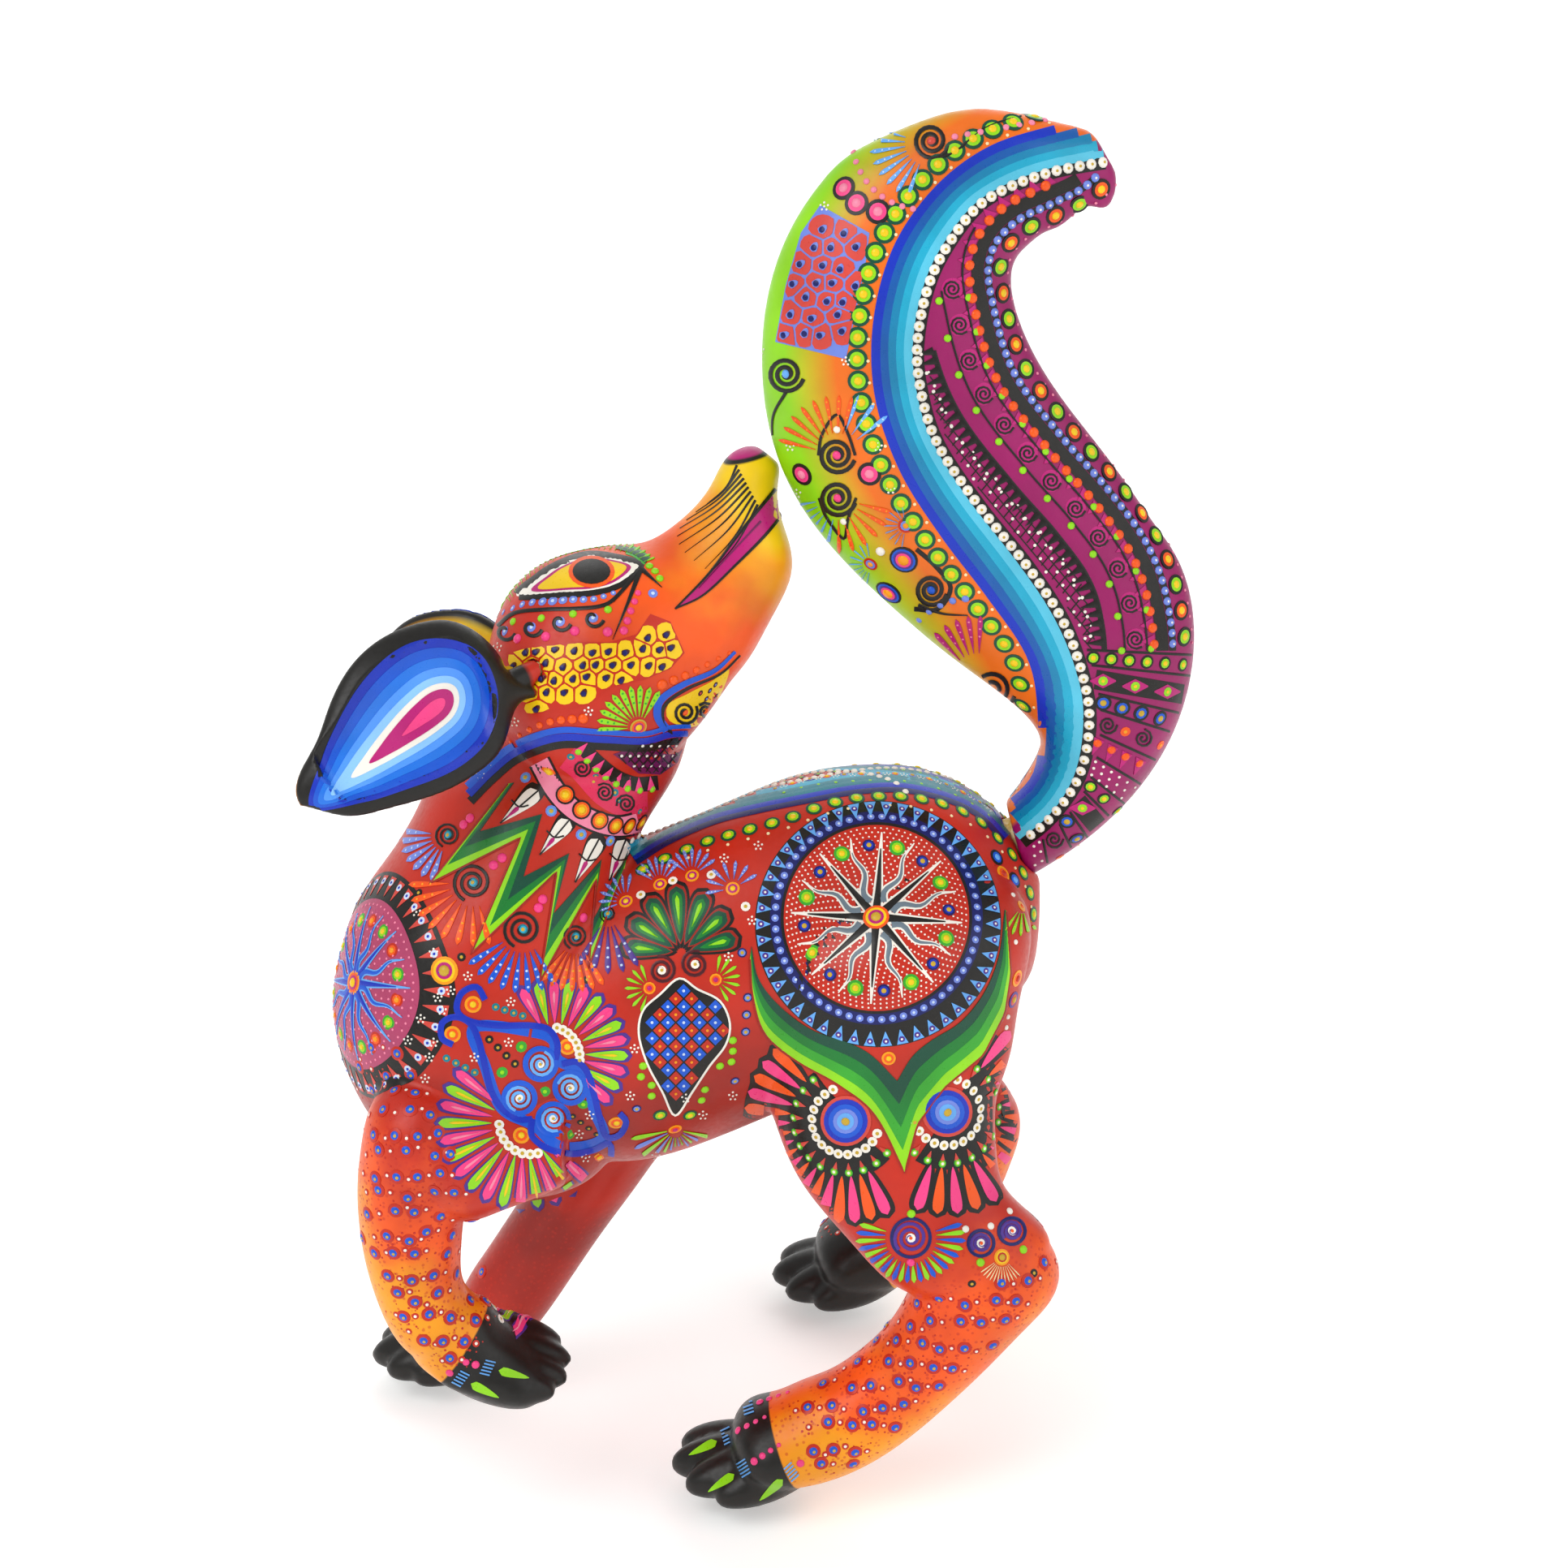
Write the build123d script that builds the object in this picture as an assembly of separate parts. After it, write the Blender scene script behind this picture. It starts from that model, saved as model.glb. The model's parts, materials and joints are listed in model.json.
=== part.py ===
"""Carved copal-wood coyote figure (alebrije): a lean animal looking back over its shoulder.

The body faces -X, the left flank faces -Y and +Z is up.  The neck is twisted, so the muzzle
points back over the shoulder and just clears the edge of the tall S-shaped tail.  Three paws
stand on the ground (Z = 0) and the front left paw is lifted.

The figure is carved from several blocks.  Head and legs are dowelled and glued to the torso.
The tail and both ears only plug in: each has a tapered seat and a round peg in a socket.

Every carved block is a loft through elliptical stations.  A station is
(ax, az, bx, bz, y, half_depth): a and b are its two outline points in the XZ plane, y is its
middle and half_depth its half width across the animal.  All sizes are in millimetres.
"""
import os
from math import cos, radians, sin

from build123d import *

os.makedirs("parts", exist_ok=True)

# ---------------------------------------------------------------- driving dimensions
FIGURE_SHIFT = (6.0, -7.7)              # moves the carved stations so that the box is centred on Z
TAIL_PEG_DIAMETER = 11.0
TAIL_PEG_IN_TAIL = 14.0                 # length glued into the tail
TAIL_PEG_IN_TORSO = 18.0                # length that plugs into the rump
EAR_PEG_DIAMETER = 4.0
EAR_PEG_IN_EAR = 9.0                    # length glued into the ear
EAR_PEG_IN_HEAD = 12.0                  # length that plugs into the head
PEG_SLACK = 0.10                        # radial room round a plug-in peg
SOCKET_FLOOR = 0.6                      # room beyond the end of a plug-in peg
SEAT_GAP = 0.3                          # room between a plug-in piece and the block it sits on
NECK_DOWEL_DIAMETER = 12.0
LEG_DOWEL_DIAMETER = 9.0
HEAD_ROLL = -15.0                       # degrees, the crown leans away from the left side
HEAD_PIVOT = (0.0, -10.0, 195.0)
LEFT_EAR_LIFT = 27.0                    # degrees, the left ear stands further off the neck
LEFT_EAR_STANDOFF = 1.0                 # the left ear is also this much further out
NECK_CLEARANCE = 1.5                    # room between the left ear and the neck
TAIL_SEAT_DIAMETER = 21.4               # floor of the recess for the tail
TAIL_ROOT_STATIONS = 6                  # stations of the tail that the recess follows
TAIL_SEAT_TRAVELS = (2.0, 5.0)          # the recess also clears the tail as it starts to pull out
HIP_PLANE_Y = 5.0                       # middle plane of the rump
HIND_SEAT_FROM_HIP_PLANE = 19.0         # flat face of each hind leg against the torso
ARM_SEAT_X = -50.0                      # flat face of the raised foreleg against the chest
LEFT_HIND_ANKLE = (8.0, -37.0)
RIGHT_HIND_ANKLE = (32.0, 58.5)
FORE_ANKLE = (-76.0, 18.0)
EAR_RIM = 3.0                           # rim left round the dished inner face of an ear
EAR_DISH = 0.75                         # depth of that dish as a part of half the ear's thickness
TOE_HALF_LENGTH = 15.0
TOE_HALF_WIDTH = 6.0
RAISED_TOE_HALF_WIDTH = 5.0
TOE_DROP = 13.0                         # degrees, a toe slopes down to its tip
TOE_HEIGHT = 5.6                        # height of the middle of a toe
OVAL_POINTS = 8                         # points of the closed curve round a station
DOME_ANGLES = (45, 75)                  # degrees of latitude of the extra stations in a rounded end
NECK_DOWEL = ((-48, -8, 158), (-44, -9, 202))
LEG_DOWELS = {
    "front_left_dowel": ((-64, -33, 92), (-38, -30, 92)),
    "front_right_dowel": ((-44, 14, 68), (-34, 4, 98)),
    "rear_left_dowel": ((25, -24, 134), (25, 4, 134)),
    "rear_right_dowel": ((25, 42, 134), (25, 14, 134)),
}

# ---------------------------------------------------------------- carved stations
BARREL = [
    (-59.5, 144.5, -61.5, 81, -12, 33),
    (-46.5, 148.5, -48, 78, -12, 34),
    (-33, 154, -32.5, 77, -11, 34),
    (-20, 159, -18.5, 80.5, -9, 34),
    (-6.5, 164, -3, 86, -6, 34),
    (6.5, 167.5, 12.5, 91.5, -3, 34),
    (20, 168, 26, 95.5, 0, 34),
    (32, 166.5, 38, 99.5, 2, 33),
    (43, 161.5, 46.5, 104, 4, 30),
    (51, 155, 53.5, 109.5, 5, 25),
]
CHEST_AND_NECK = [
    (-70.5, 183.5, -18.5, 183.5, -5, 23),
    (-79, 171, -23.5, 174, -6, 24.5),
    (-85.5, 161, -29, 164, -8, 26),
    (-92, 150.5, -34.5, 153.5, -10, 28.5),
    (-98.5, 141.5, -37, 142.5, -12, 31),
    (-103, 130.5, -37.5, 130.5, -13, 33.5),
    (-105.5, 118, -37, 117.5, -14, 35.5),
    (-104, 105, -36, 104, -14, 36),
    (-99, 92.5, -36.5, 91.5, -14, 34),
    (-89.5, 81.5, -39, 80, -14, 29),
]
HEAD = [
    (-12, 245, -1.5, 237, -10, 7.5),
    (-16.5, 238, 1, 225.5, -10, 10.5),
    (-24, 229.5, 0.5, 214, -10, 13),
    (-31.5, 225, -5, 203.5, -10, 15.5),
    (-40, 224, -11.5, 194, -10, 19.5),
    (-50, 222, -18, 185, -10, 23),
    (-58.5, 217.5, -26, 176, -10, 24.5),
    (-64.5, 209.5, -34.5, 170, -10, 23.5),
    (-67.5, 199.5, -44, 168, -10, 20),
]
TAIL = [
    (52.5, 158, 58, 140, 6, 10),
    (56.5, 164.5, 66.5, 146.5, 4, 11),
    (59.5, 171.5, 77.5, 157, 2, 12.5),
    (58.5, 179, 89.5, 176, 0, 14),
    (51, 187, 94, 198, -1, 15),
    (38.5, 196.5, 90.5, 217.5, -1, 15.5),
    (23.5, 209.5, 80.5, 232.5, -1, 15.5),
    (8, 226, 68, 249, -1, 15.5),
    (-2.5, 246.5, 57, 264, -1, 15.5),
    (-5, 266, 51, 277, -1, 15),
    (-2.5, 284.5, 50, 286, -1, 14),
    (5, 300.5, 53, 291, -1, 12.5),
    (16.5, 312, 58, 294.5, -1, 10.5),
    (31.5, 318.5, 63, 297.5, -1, 8.5),
    (48.5, 320, 68, 299.5, -1, 6.5),
    (62.5, 317, 72, 301, -1, 4.5),
]
# The ears belong to the head, so their y counts from the middle plane of the head.  The last
# station lies inside the head.
EAR = [
    (-101, 180.5, -94.5, 166, -42, 3.4),
    (-98, 189, -87, 167, -39.5, 4.6),
    (-93.5, 198, -79.5, 169, -36.5, 5.4),
    (-87, 204, -72.5, 171.5, -33.5, 5.8),
    (-80, 207, -66.5, 175, -30.5, 5.8),
    (-72.5, 207.5, -62, 179.5, -28, 5.4),
    (-66, 204, -60, 185, -26, 4.8),
    (-62, 198.5, -57, 190, -23, 4.2),
    (-57, 198, -51, 188, -17, 4.2),
]
EAR_TIP = (-103.5, -44, 168)
LEFT_THIGH = [
    (6, 149, 46, 151, -12, 17),
    (-3, 141, 55, 143, -15.5, 23),
    (-8, 126, 56, 127, -19.5, 25),
    (-7.5, 112.5, 53.5, 114, -22.5, 22.5),
    (-5, 99.5, 50.5, 102.5, -26, 19.5),
    (-0.5, 87, 49, 91, -29, 17.5),
    (5.5, 76, 50, 81, -32, 16),
    (14.5, 65.5, 55.5, 72.5, -34.5, 14.8),
    (24.5, 55, 62, 63.5, -36, 13.5),
]
RIGHT_THIGH = [
    (10, 147, 46, 149, 22, 16),
    (3, 139, 55, 141, 25.5, 21.5),
    (0, 125, 56, 126, 29.5, 23),
    (1, 112, 53.5, 113, 32.5, 20.5),
    (4, 99.5, 50.5, 101.5, 36, 18),
    (9, 87, 48, 90, 39, 16),
    (14, 76, 49, 80, 42, 15),
    (20, 66, 54, 71, 44.5, 14),
    (27, 56, 59, 62, 46, 13),
]
LEFT_SHANK = [
    (35, 63, 64.5, 56.5, -36.5, 13.5),
    (27.5, 47.5, 58, 45, -37, 13),
    (21.5, 38.5, 48.5, 33.5, -37, 12),
    (15, 32.5, 39, 23, -37, 11.5),
    (9, 28.5, 28.5, 13, -37, 12),
    (2.5, 25.5, 17, 5.5, -37, 13),
    (-3, 22.5, 7.5, 2.5, -37, 14),
    (-9, 19.5, -1, 2, -36.5, 15),
]
RIGHT_SHANK = [
    (33, 62, 61.5, 56, 47, 13),
    (31.5, 48, 59.5, 44, 49, 12.5),
    (30, 38.5, 55.5, 32, 52, 12),
    (28, 31.5, 49, 22, 54, 11.5),
    (25.5, 27.5, 42, 12, 56, 12),
    (21, 25, 34, 5, 57.5, 13),
    (17, 22.5, 26.5, 2.5, 58.5, 14),
    (12, 19.5, 19.5, 2, 59, 15),
]
RAISED_UPPER_ARM = [
    (-42.5, 107, -43, 84.5, -28, 20),
    (-57, 105, -55.5, 79, -36, 19),
    (-69, 105.5, -65, 77, -42, 16.5),
    (-81.5, 105.5, -71.5, 76, -45, 14.5),
]
RAISED_FOREARM = [
    (-92.5, 105.5, -69.5, 96.5, -45, 13),
    (-96, 95, -71.5, 86, -46, 13),
    (-97.5, 82.5, -73.5, 75.5, -46, 12.5),
    (-97, 69.5, -74.5, 66.5, -46, 11.5),
    (-94.5, 56.5, -73.5, 56.5, -46, 10.5),
    (-89.5, 44, -69, 48.5, -45, 10.5),
]
RAISED_PAW = [
    (-87, 41, -71, 54, -45, 9),
    (-80.5, 34, -66, 48, -44.5, 11),
    (-71, 29, -60, 42.5, -44, 12),
    (-63, 27.5, -55.5, 38.5, -43.5, 12),
]
RAISED_TOE_TIPS = [(-51, -52.5, 33), (-46.5, -50, 34), (-41.5, -49.5, 36), (-37, -52, 38)]
STANDING_FORELEG = [
    (-49, 82, -19, 82, 16, 16),
    (-56, 66.5, -27.5, 66.5, 17, 15),
    (-62.5, 54.5, -36, 54.5, 17, 13),
    (-70, 42.5, -45.5, 40.5, 17, 11.5),
    (-76, 33, -54, 27, 17, 11),
    (-80.5, 25.5, -62, 14.5, 17.5, 11.5),
    (-84, 19.5, -69, 7, 18, 12.5),
    (-88, 15.5, -77, 3.5, 18, 13),
]
# A paw is a fan of four toes: (angle from -X in degrees, reach from the ankle).
HIND_TOES = [(25, 27), (9, 32.5), (-8, 36), (-24, 36.5)]
FORE_TOES = [(30, 21), (13, 26.5), (-4, 30.5), (-21, 31)]


# ---------------------------------------------------------------- carving helpers
def shifted(solid):
    """Put a finished solid where the figure stands on its own origin."""
    return Pos(FIGURE_SHIFT[0], FIGURE_SHIFT[1], 0) * solid


def station_plane(station):
    """The plane of a station: its x runs from outline point a to b, its y across the animal."""
    ax, az, bx, bz, y, _ = station
    a = Vector(ax, y, az)
    b = Vector(bx, y, bz)
    along = b - a
    return Plane(origin=(a + b) / 2, x_dir=along, z_dir=along.cross(Vector(0, 1, 0)))


def station_face(station, scale=1.0, travel=0.0):
    """The oval face of a station, optionally shrunk and moved along its own normal."""
    ax, az, bx, bz, _, half_depth = station
    half_width = ((bx - ax) ** 2 + (bz - az) ** 2) ** 0.5 / 2
    turns = [radians(360 * k / OVAL_POINTS) for k in range(OVAL_POINTS)]
    oval = Spline([(scale * half_width * cos(t), scale * half_depth * sin(t)) for t in turns], periodic=True)
    return station_plane(station).offset(travel) * make_face(oval)


def dome(station, height):
    """Shrinking copies of an end station, outwards from it, that round the end off."""
    return [station_face(station, cos(radians(t)), height * sin(radians(t))) for t in DOME_ANGLES]


def carve(stations, start_dome=0.0, end_dome=0.0):
    """Loft through stations.  A dome of the given height closes either end."""
    faces = [station_face(s) for s in stations]
    first, second = (station_plane(s) for s in stations[:2])
    onward = 1 if first.z_dir.dot(second.origin - first.origin) > 0 else -1
    if start_dome:
        faces = dome(stations[0], -onward * start_dome)[::-1] + faces
    if end_dome:
        faces = faces + dome(stations[-1], onward * end_dome)
    return loft(faces).solid()


def spheroid(half_length, half_width):
    """A solid of revolution with its long axis on X and its middle at the origin."""
    upper_half = Pos(0, half_width) * Rectangle(2 * half_length, 2 * half_width)
    return revolve(Ellipse(half_length, half_width) & upper_half, Axis.X, 360).solid()


def pin(start, end, diameter):
    """A round pin between two points."""
    start = Vector(*start)
    end = Vector(*end)
    plane = Plane(origin=start, z_dir=end - start)
    return extrude(plane * Circle(diameter / 2), (end - start).length).solid()


def rolled(solid):
    """Lean a solid with the head."""
    pivot = Pos(*HEAD_PIVOT)
    return pivot * Rot(HEAD_ROLL, 0, 0) * pivot.inverse() * solid


def grown(station, margin):
    """The same station with its outline moved out by a margin."""
    ax, az, bx, bz, y, half_depth = station
    length = ((bx - ax) ** 2 + (bz - az) ** 2) ** 0.5
    ux = (bx - ax) / length * margin
    uz = (bz - az) / length * margin
    return (ax - ux, az - uz, bx + ux, bz + uz, y, half_depth + margin)


def only_one(shape):
    """The largest solid of a shape: slivers that a trim leaves behind drop away."""
    return max(shape.solids(), key=lambda s: s.volume)


def fused(*pieces):
    """Join overlapping solids into one, and refuse a join that loses material."""
    result = pieces[0]
    for piece in pieces[1:]:
        joined = only_one(result + piece)
        if joined.volume < max(result.volume, piece.volume):
            raise ValueError("a join of carved blocks lost material")
        result = joined
    return result


def half_space(axis, limit, side):
    """A large block that fills one side of a plane: axis 0, 1 or 2, side -1 or +1."""
    size = 600.0
    middle = [0.0, 0.0, 0.0]
    middle[axis] = limit + side * size / 2
    return Pos(*middle) * Box(size, size, size)


def toes(ankle, fan):
    """Four toes in a fan about the ankle."""
    result = []
    for angle, reach in fan:
        middle = reach - TOE_HALF_LENGTH
        x = ankle[0] - middle * cos(radians(angle))
        y = ankle[1] - middle * sin(radians(angle))
        place = Pos(x, y, TOE_HEIGHT) * Rot(0, 0, angle) * Rot(0, -TOE_DROP, 0)
        toe = place * spheroid(TOE_HALF_LENGTH, TOE_HALF_WIDTH)
        result.append(only_one(toe & half_space(2, 0, 1)))
    return result


def pin_through(middle, direction, before, after, diameter):
    """A round pin along a direction, reaching before and after a middle point."""
    direction = Vector(*direction).normalized()
    middle = Vector(*middle)
    return pin(middle - direction * before, middle + direction * after, diameter)


# ---------------------------------------------------------------- carved blocks
def make_torso():
    """Barrel, chest and neck in one block."""
    barrel = carve(BARREL, end_dome=8)
    chest = carve(CHEST_AND_NECK, end_dome=9)
    return fused(barrel, chest)


def make_head(margin=0.0):
    """The upright head with its muzzle."""
    return carve([grown(s, margin) for s in HEAD], start_dome=5, end_dome=7)


def make_hind_leg(side):
    """A hind leg with a flat inner face: side is -1 for the left leg and +1 for the right."""
    if side < 0:
        thigh_stations, shank, ankle = LEFT_THIGH, LEFT_SHANK, LEFT_HIND_ANKLE
    else:
        thigh_stations, shank, ankle = RIGHT_THIGH, RIGHT_SHANK, RIGHT_HIND_ANKLE
    thigh = carve(thigh_stations, start_dome=7, end_dome=6)
    lower = carve(shank, start_dome=10, end_dome=7)
    whole = fused(thigh, lower, *toes(ankle, HIND_TOES))
    seat = HIP_PLANE_Y + side * HIND_SEAT_FROM_HIP_PLANE
    return only_one(whole & half_space(1, seat, side))


def make_standing_foreleg():
    """The right foreleg slants forward and carries the chest."""
    leg = carve(STANDING_FORELEG, start_dome=5, end_dome=6)
    return fused(leg, *toes(FORE_ANKLE, FORE_TOES))


def make_raised_foreleg():
    """The lifted left foreleg with its paw folded back."""
    arm = carve(RAISED_UPPER_ARM, start_dome=5, end_dome=10) & half_space(0, ARM_SEAT_X, -1)
    forearm = carve(RAISED_FOREARM, start_dome=8, end_dome=6)
    paw = carve(RAISED_PAW, start_dome=4, end_dome=4)
    folded_toes = []
    for y, tip_x, tip_z in RAISED_TOE_TIPS:
        rise = TOE_HALF_LENGTH * sin(radians(TOE_DROP))
        place = Pos(tip_x - TOE_HALF_LENGTH, y, tip_z + rise) * Rot(0, TOE_DROP, 0)
        folded_toes.append(place * spheroid(TOE_HALF_LENGTH, RAISED_TOE_HALF_WIDTH))
    return fused(only_one(arm), forearm, paw, *folded_toes)


def make_tail():
    """The tall S-shaped tail."""
    return carve(TAIL, end_dome=3.5)


def make_ear():
    """The upright right ear: a leaf with a dished inner face."""
    stations = [(ax, az, bx, bz, HEAD_PIVOT[1] + y, t) for ax, az, bx, bz, y, t in EAR]
    tip = Vertex(EAR_TIP[0], HEAD_PIVOT[1] + EAR_TIP[1], EAR_TIP[2])
    leaf = loft([tip] + [station_face(s) for s in stations]).solid()
    dish_stations = []
    for station in stations[1:-3]:
        ax, az, bx, bz, y, half_depth = grown(station, -EAR_RIM)
        thickness = half_depth + EAR_RIM
        dish_stations.append((ax, az, bx, bz, y - thickness, EAR_DISH * thickness))
    dish = carve(dish_stations, start_dome=7, end_dome=3)
    return only_one(leaf - dish)


# ---------------------------------------------------------------- joints between the blocks
def station_middle(station):
    """The middle of a station."""
    return station_plane(station).origin


def tail_axis():
    """The way the tail pulls out of the rump."""
    return station_plane(TAIL[0]).z_dir


def ear_axis():
    """The way the upright right ear pulls out of the head: from its root to its tip."""
    root = station_middle(EAR[-1])
    tip = station_middle(EAR[0])
    return (tip - root).normalized()


def ear_socket_mouth():
    """The middle of the upright right ear where it leaves the head."""
    middle = station_middle(EAR[-2])
    return Vector(middle.X, HEAD_PIVOT[1] + EAR[-2][4], middle.Z)


def other_ear(solid):
    """Mirror a piece of the right ear to the left side of the upright head, and lift it clear
    of the neck by a turn about its own root."""
    mirrored = solid.mirror(Plane(origin=HEAD_PIVOT, z_dir=(0, 1, 0)))
    mouth = ear_socket_mouth()
    root = Pos(mouth.X, 2 * HEAD_PIVOT[1] - mouth.Y, mouth.Z)
    standoff = Pos(0, LEFT_EAR_STANDOFF, 0)
    return standoff * root * Rot(LEFT_EAR_LIFT, 0, 0) * root.inverse() * mirrored



def build():
    """Every node of the figure, trimmed so that neighbours meet face to face."""
    torso = make_torso()
    upright_head = make_head()
    head = rolled(upright_head)
    rear_left = make_hind_leg(-1)
    rear_right = make_hind_leg(1)
    front_left = make_raised_foreleg()
    front_right = make_standing_foreleg()
    tail = make_tail()

    tail_root = station_middle(TAIL[0])
    tail_peg = pin_through(tail_root, tail_axis(), TAIL_PEG_IN_TORSO, TAIL_PEG_IN_TAIL, TAIL_PEG_DIAMETER)
    tail_socket = pin_through(
        tail_root,
        tail_axis(),
        TAIL_PEG_IN_TORSO + SOCKET_FLOOR,
        TAIL_PEG_IN_TAIL,
        TAIL_PEG_DIAMETER + 2 * PEG_SLACK,
    )
    mouth = ear_socket_mouth()
    ear_peg = pin_through(mouth, ear_axis(), EAR_PEG_IN_HEAD, EAR_PEG_IN_EAR, EAR_PEG_DIAMETER)
    ear_socket = pin_through(
        mouth,
        ear_axis(),
        EAR_PEG_IN_HEAD + SOCKET_FLOOR,
        EAR_PEG_IN_EAR,
        EAR_PEG_DIAMETER + 2 * PEG_SLACK,
    )
    leaf = make_ear()
    room_for_head = make_head(SEAT_GAP)
    room_for_neck = carve([grown(s, NECK_CLEARANCE) for s in CHEST_AND_NECK], start_dome=6)
    right_ear = only_one(only_one(leaf - room_for_head) - ear_peg)
    left_ear = only_one(only_one(other_ear(leaf) - room_for_head) - other_ear(ear_peg))

    neck_dowel = pin(*NECK_DOWEL, NECK_DOWEL_DIAMETER)
    leg_dowels = {name: pin(*ends, LEG_DOWEL_DIAMETER) for name, ends in LEG_DOWELS.items()}

    for block in (rear_left, rear_right, front_left, front_right, head):
        torso = only_one(torso - block)
    torso = only_one(torso - make_tail_seat() - tail_socket - neck_dowel)
    for dowel in leg_dowels.values():
        torso = torso - dowel
    torso = only_one(torso)
    head = head - neck_dowel - rolled(ear_socket) - rolled(other_ear(ear_socket))

    nodes = {
        "torso": torso,
        "head": only_one(head),
        "front_left_leg": only_one(front_left - leg_dowels["front_left_dowel"]),
        "front_right_leg": only_one(front_right - leg_dowels["front_right_dowel"]),
        "rear_left_leg": only_one(rear_left - leg_dowels["rear_left_dowel"]),
        "rear_right_leg": only_one(rear_right - leg_dowels["rear_right_dowel"]),
        "tail": only_one(tail - tail_peg),
        "tail_peg": tail_peg,
        "right_ear": rolled(right_ear),
        "right_ear_peg": rolled(ear_peg),
        "left_ear": only_one(rolled(left_ear) - room_for_neck),
        "left_ear_peg": rolled(other_ear(ear_peg)),
        "neck_dowel": neck_dowel,
    }
    nodes.update(leg_dowels)
    return {name: shifted(solid) for name, solid in nodes.items()}


def make_tail_seat():
    """The recess in the rump for the root of the tail, open the way the tail pulls out."""
    root = carve([grown(s, SEAT_GAP) for s in TAIL[:TAIL_ROOT_STATIONS]])
    base = pin_through(station_middle(TAIL[0]), tail_axis(), SEAT_GAP, 1.0, TAIL_SEAT_DIAMETER)
    seat = fused(root, base)
    for travel in TAIL_SEAT_TRAVELS:
        seat = fused(seat, Pos(*(tail_axis() * travel)) * root)
    return seat


def write_parts(nodes):
    """One STEP file for each node."""
    for name, solid in nodes.items():
        export_step(solid, f"parts/{name}.step")


if __name__ == "__main__":
    write_parts(build())
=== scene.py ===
"""A painted wooden figure of a four-legged animal with its nose raised to its tail.

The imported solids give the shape. Here the body's solids get one smooth skin, which is cut back into
the pieces it stands for, and the painted ornament is laid on them as thin raised strokes, dots and
patches of acrylic paint.
"""

import json
import math
import random

import bmesh
import bpy
import numpy as np
from mathutils import Matrix, Vector
from mathutils.bvhtree import BVHTree
from mathutils.geometry import delaunay_2d_cdt
from mathutils.kdtree import KDTree


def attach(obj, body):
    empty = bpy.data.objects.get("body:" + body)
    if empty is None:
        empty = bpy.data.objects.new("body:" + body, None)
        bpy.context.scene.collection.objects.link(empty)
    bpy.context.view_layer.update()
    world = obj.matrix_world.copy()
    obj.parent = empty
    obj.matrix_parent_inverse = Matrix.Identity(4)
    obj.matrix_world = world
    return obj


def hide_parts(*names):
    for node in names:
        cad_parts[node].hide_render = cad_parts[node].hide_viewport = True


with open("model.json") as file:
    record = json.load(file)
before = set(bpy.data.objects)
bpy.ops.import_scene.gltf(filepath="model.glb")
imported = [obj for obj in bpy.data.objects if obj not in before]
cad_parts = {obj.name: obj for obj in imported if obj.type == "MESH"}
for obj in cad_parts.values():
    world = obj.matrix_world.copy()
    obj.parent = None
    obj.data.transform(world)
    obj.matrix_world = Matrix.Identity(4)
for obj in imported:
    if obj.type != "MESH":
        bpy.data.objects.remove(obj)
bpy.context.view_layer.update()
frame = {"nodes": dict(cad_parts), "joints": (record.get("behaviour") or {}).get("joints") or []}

MM = 0.001

# ------------------------------------------------------------------ colours
PALETTE = {
    "black": "14120f",
    "white": "f2ede2",
    "cream": "f4dfae",
    "red": "c0260f",
    "deep_red": "9c1c0c",
    "maroon": "4a0c18",
    "coral": "d2453a",
    "orange": "f2570c",
    "amber": "f29a07",
    "yellow": "f2c80a",
    "gold": "c9a52c",
    "lime": "8fd80f",
    "leaf": "35a52a",
    "green": "0f7a2c",
    "forest": "064a35",
    "teal": "067a8c",
    "cyan": "19a6c9",
    "sky": "63a8ee",
    "periwinkle": "6f86dc",
    "blue": "0f56cf",
    "royal": "0a2fb8",
    "navy": "0b1460",
    "ocean": "0a58a8",
    "lagoon": "0b82b0",
    "aqua": "55c0de",
    "wine": "98085f",
    "violet": "4a2a8c",
    "magenta": "b80f72",
    "plum": "6d0f52",
    "pink": "f23f86",
    "rose": "f287a6",
    "raspberry": "d82a55",
    "mauve": "b04068",
    "grey": "6a7a86",
    "ice": "c9dcf4",
    "cobalt": "1c74e0",
    "azure": "4f97f6",
    "pale_blue": "8cc6fb",
}


def linear(code):
    """The linear colour of a six-digit sRGB code."""
    parts = [int(code[i:i + 2], 16) / 255 for i in (0, 2, 4)]
    return tuple((p / 12.92 if p <= 0.04045 else ((p + 0.055) / 1.055) ** 2.4) for p in parts) + (1.0,)


def colour(name):
    return linear(PALETTE[name])


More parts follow.
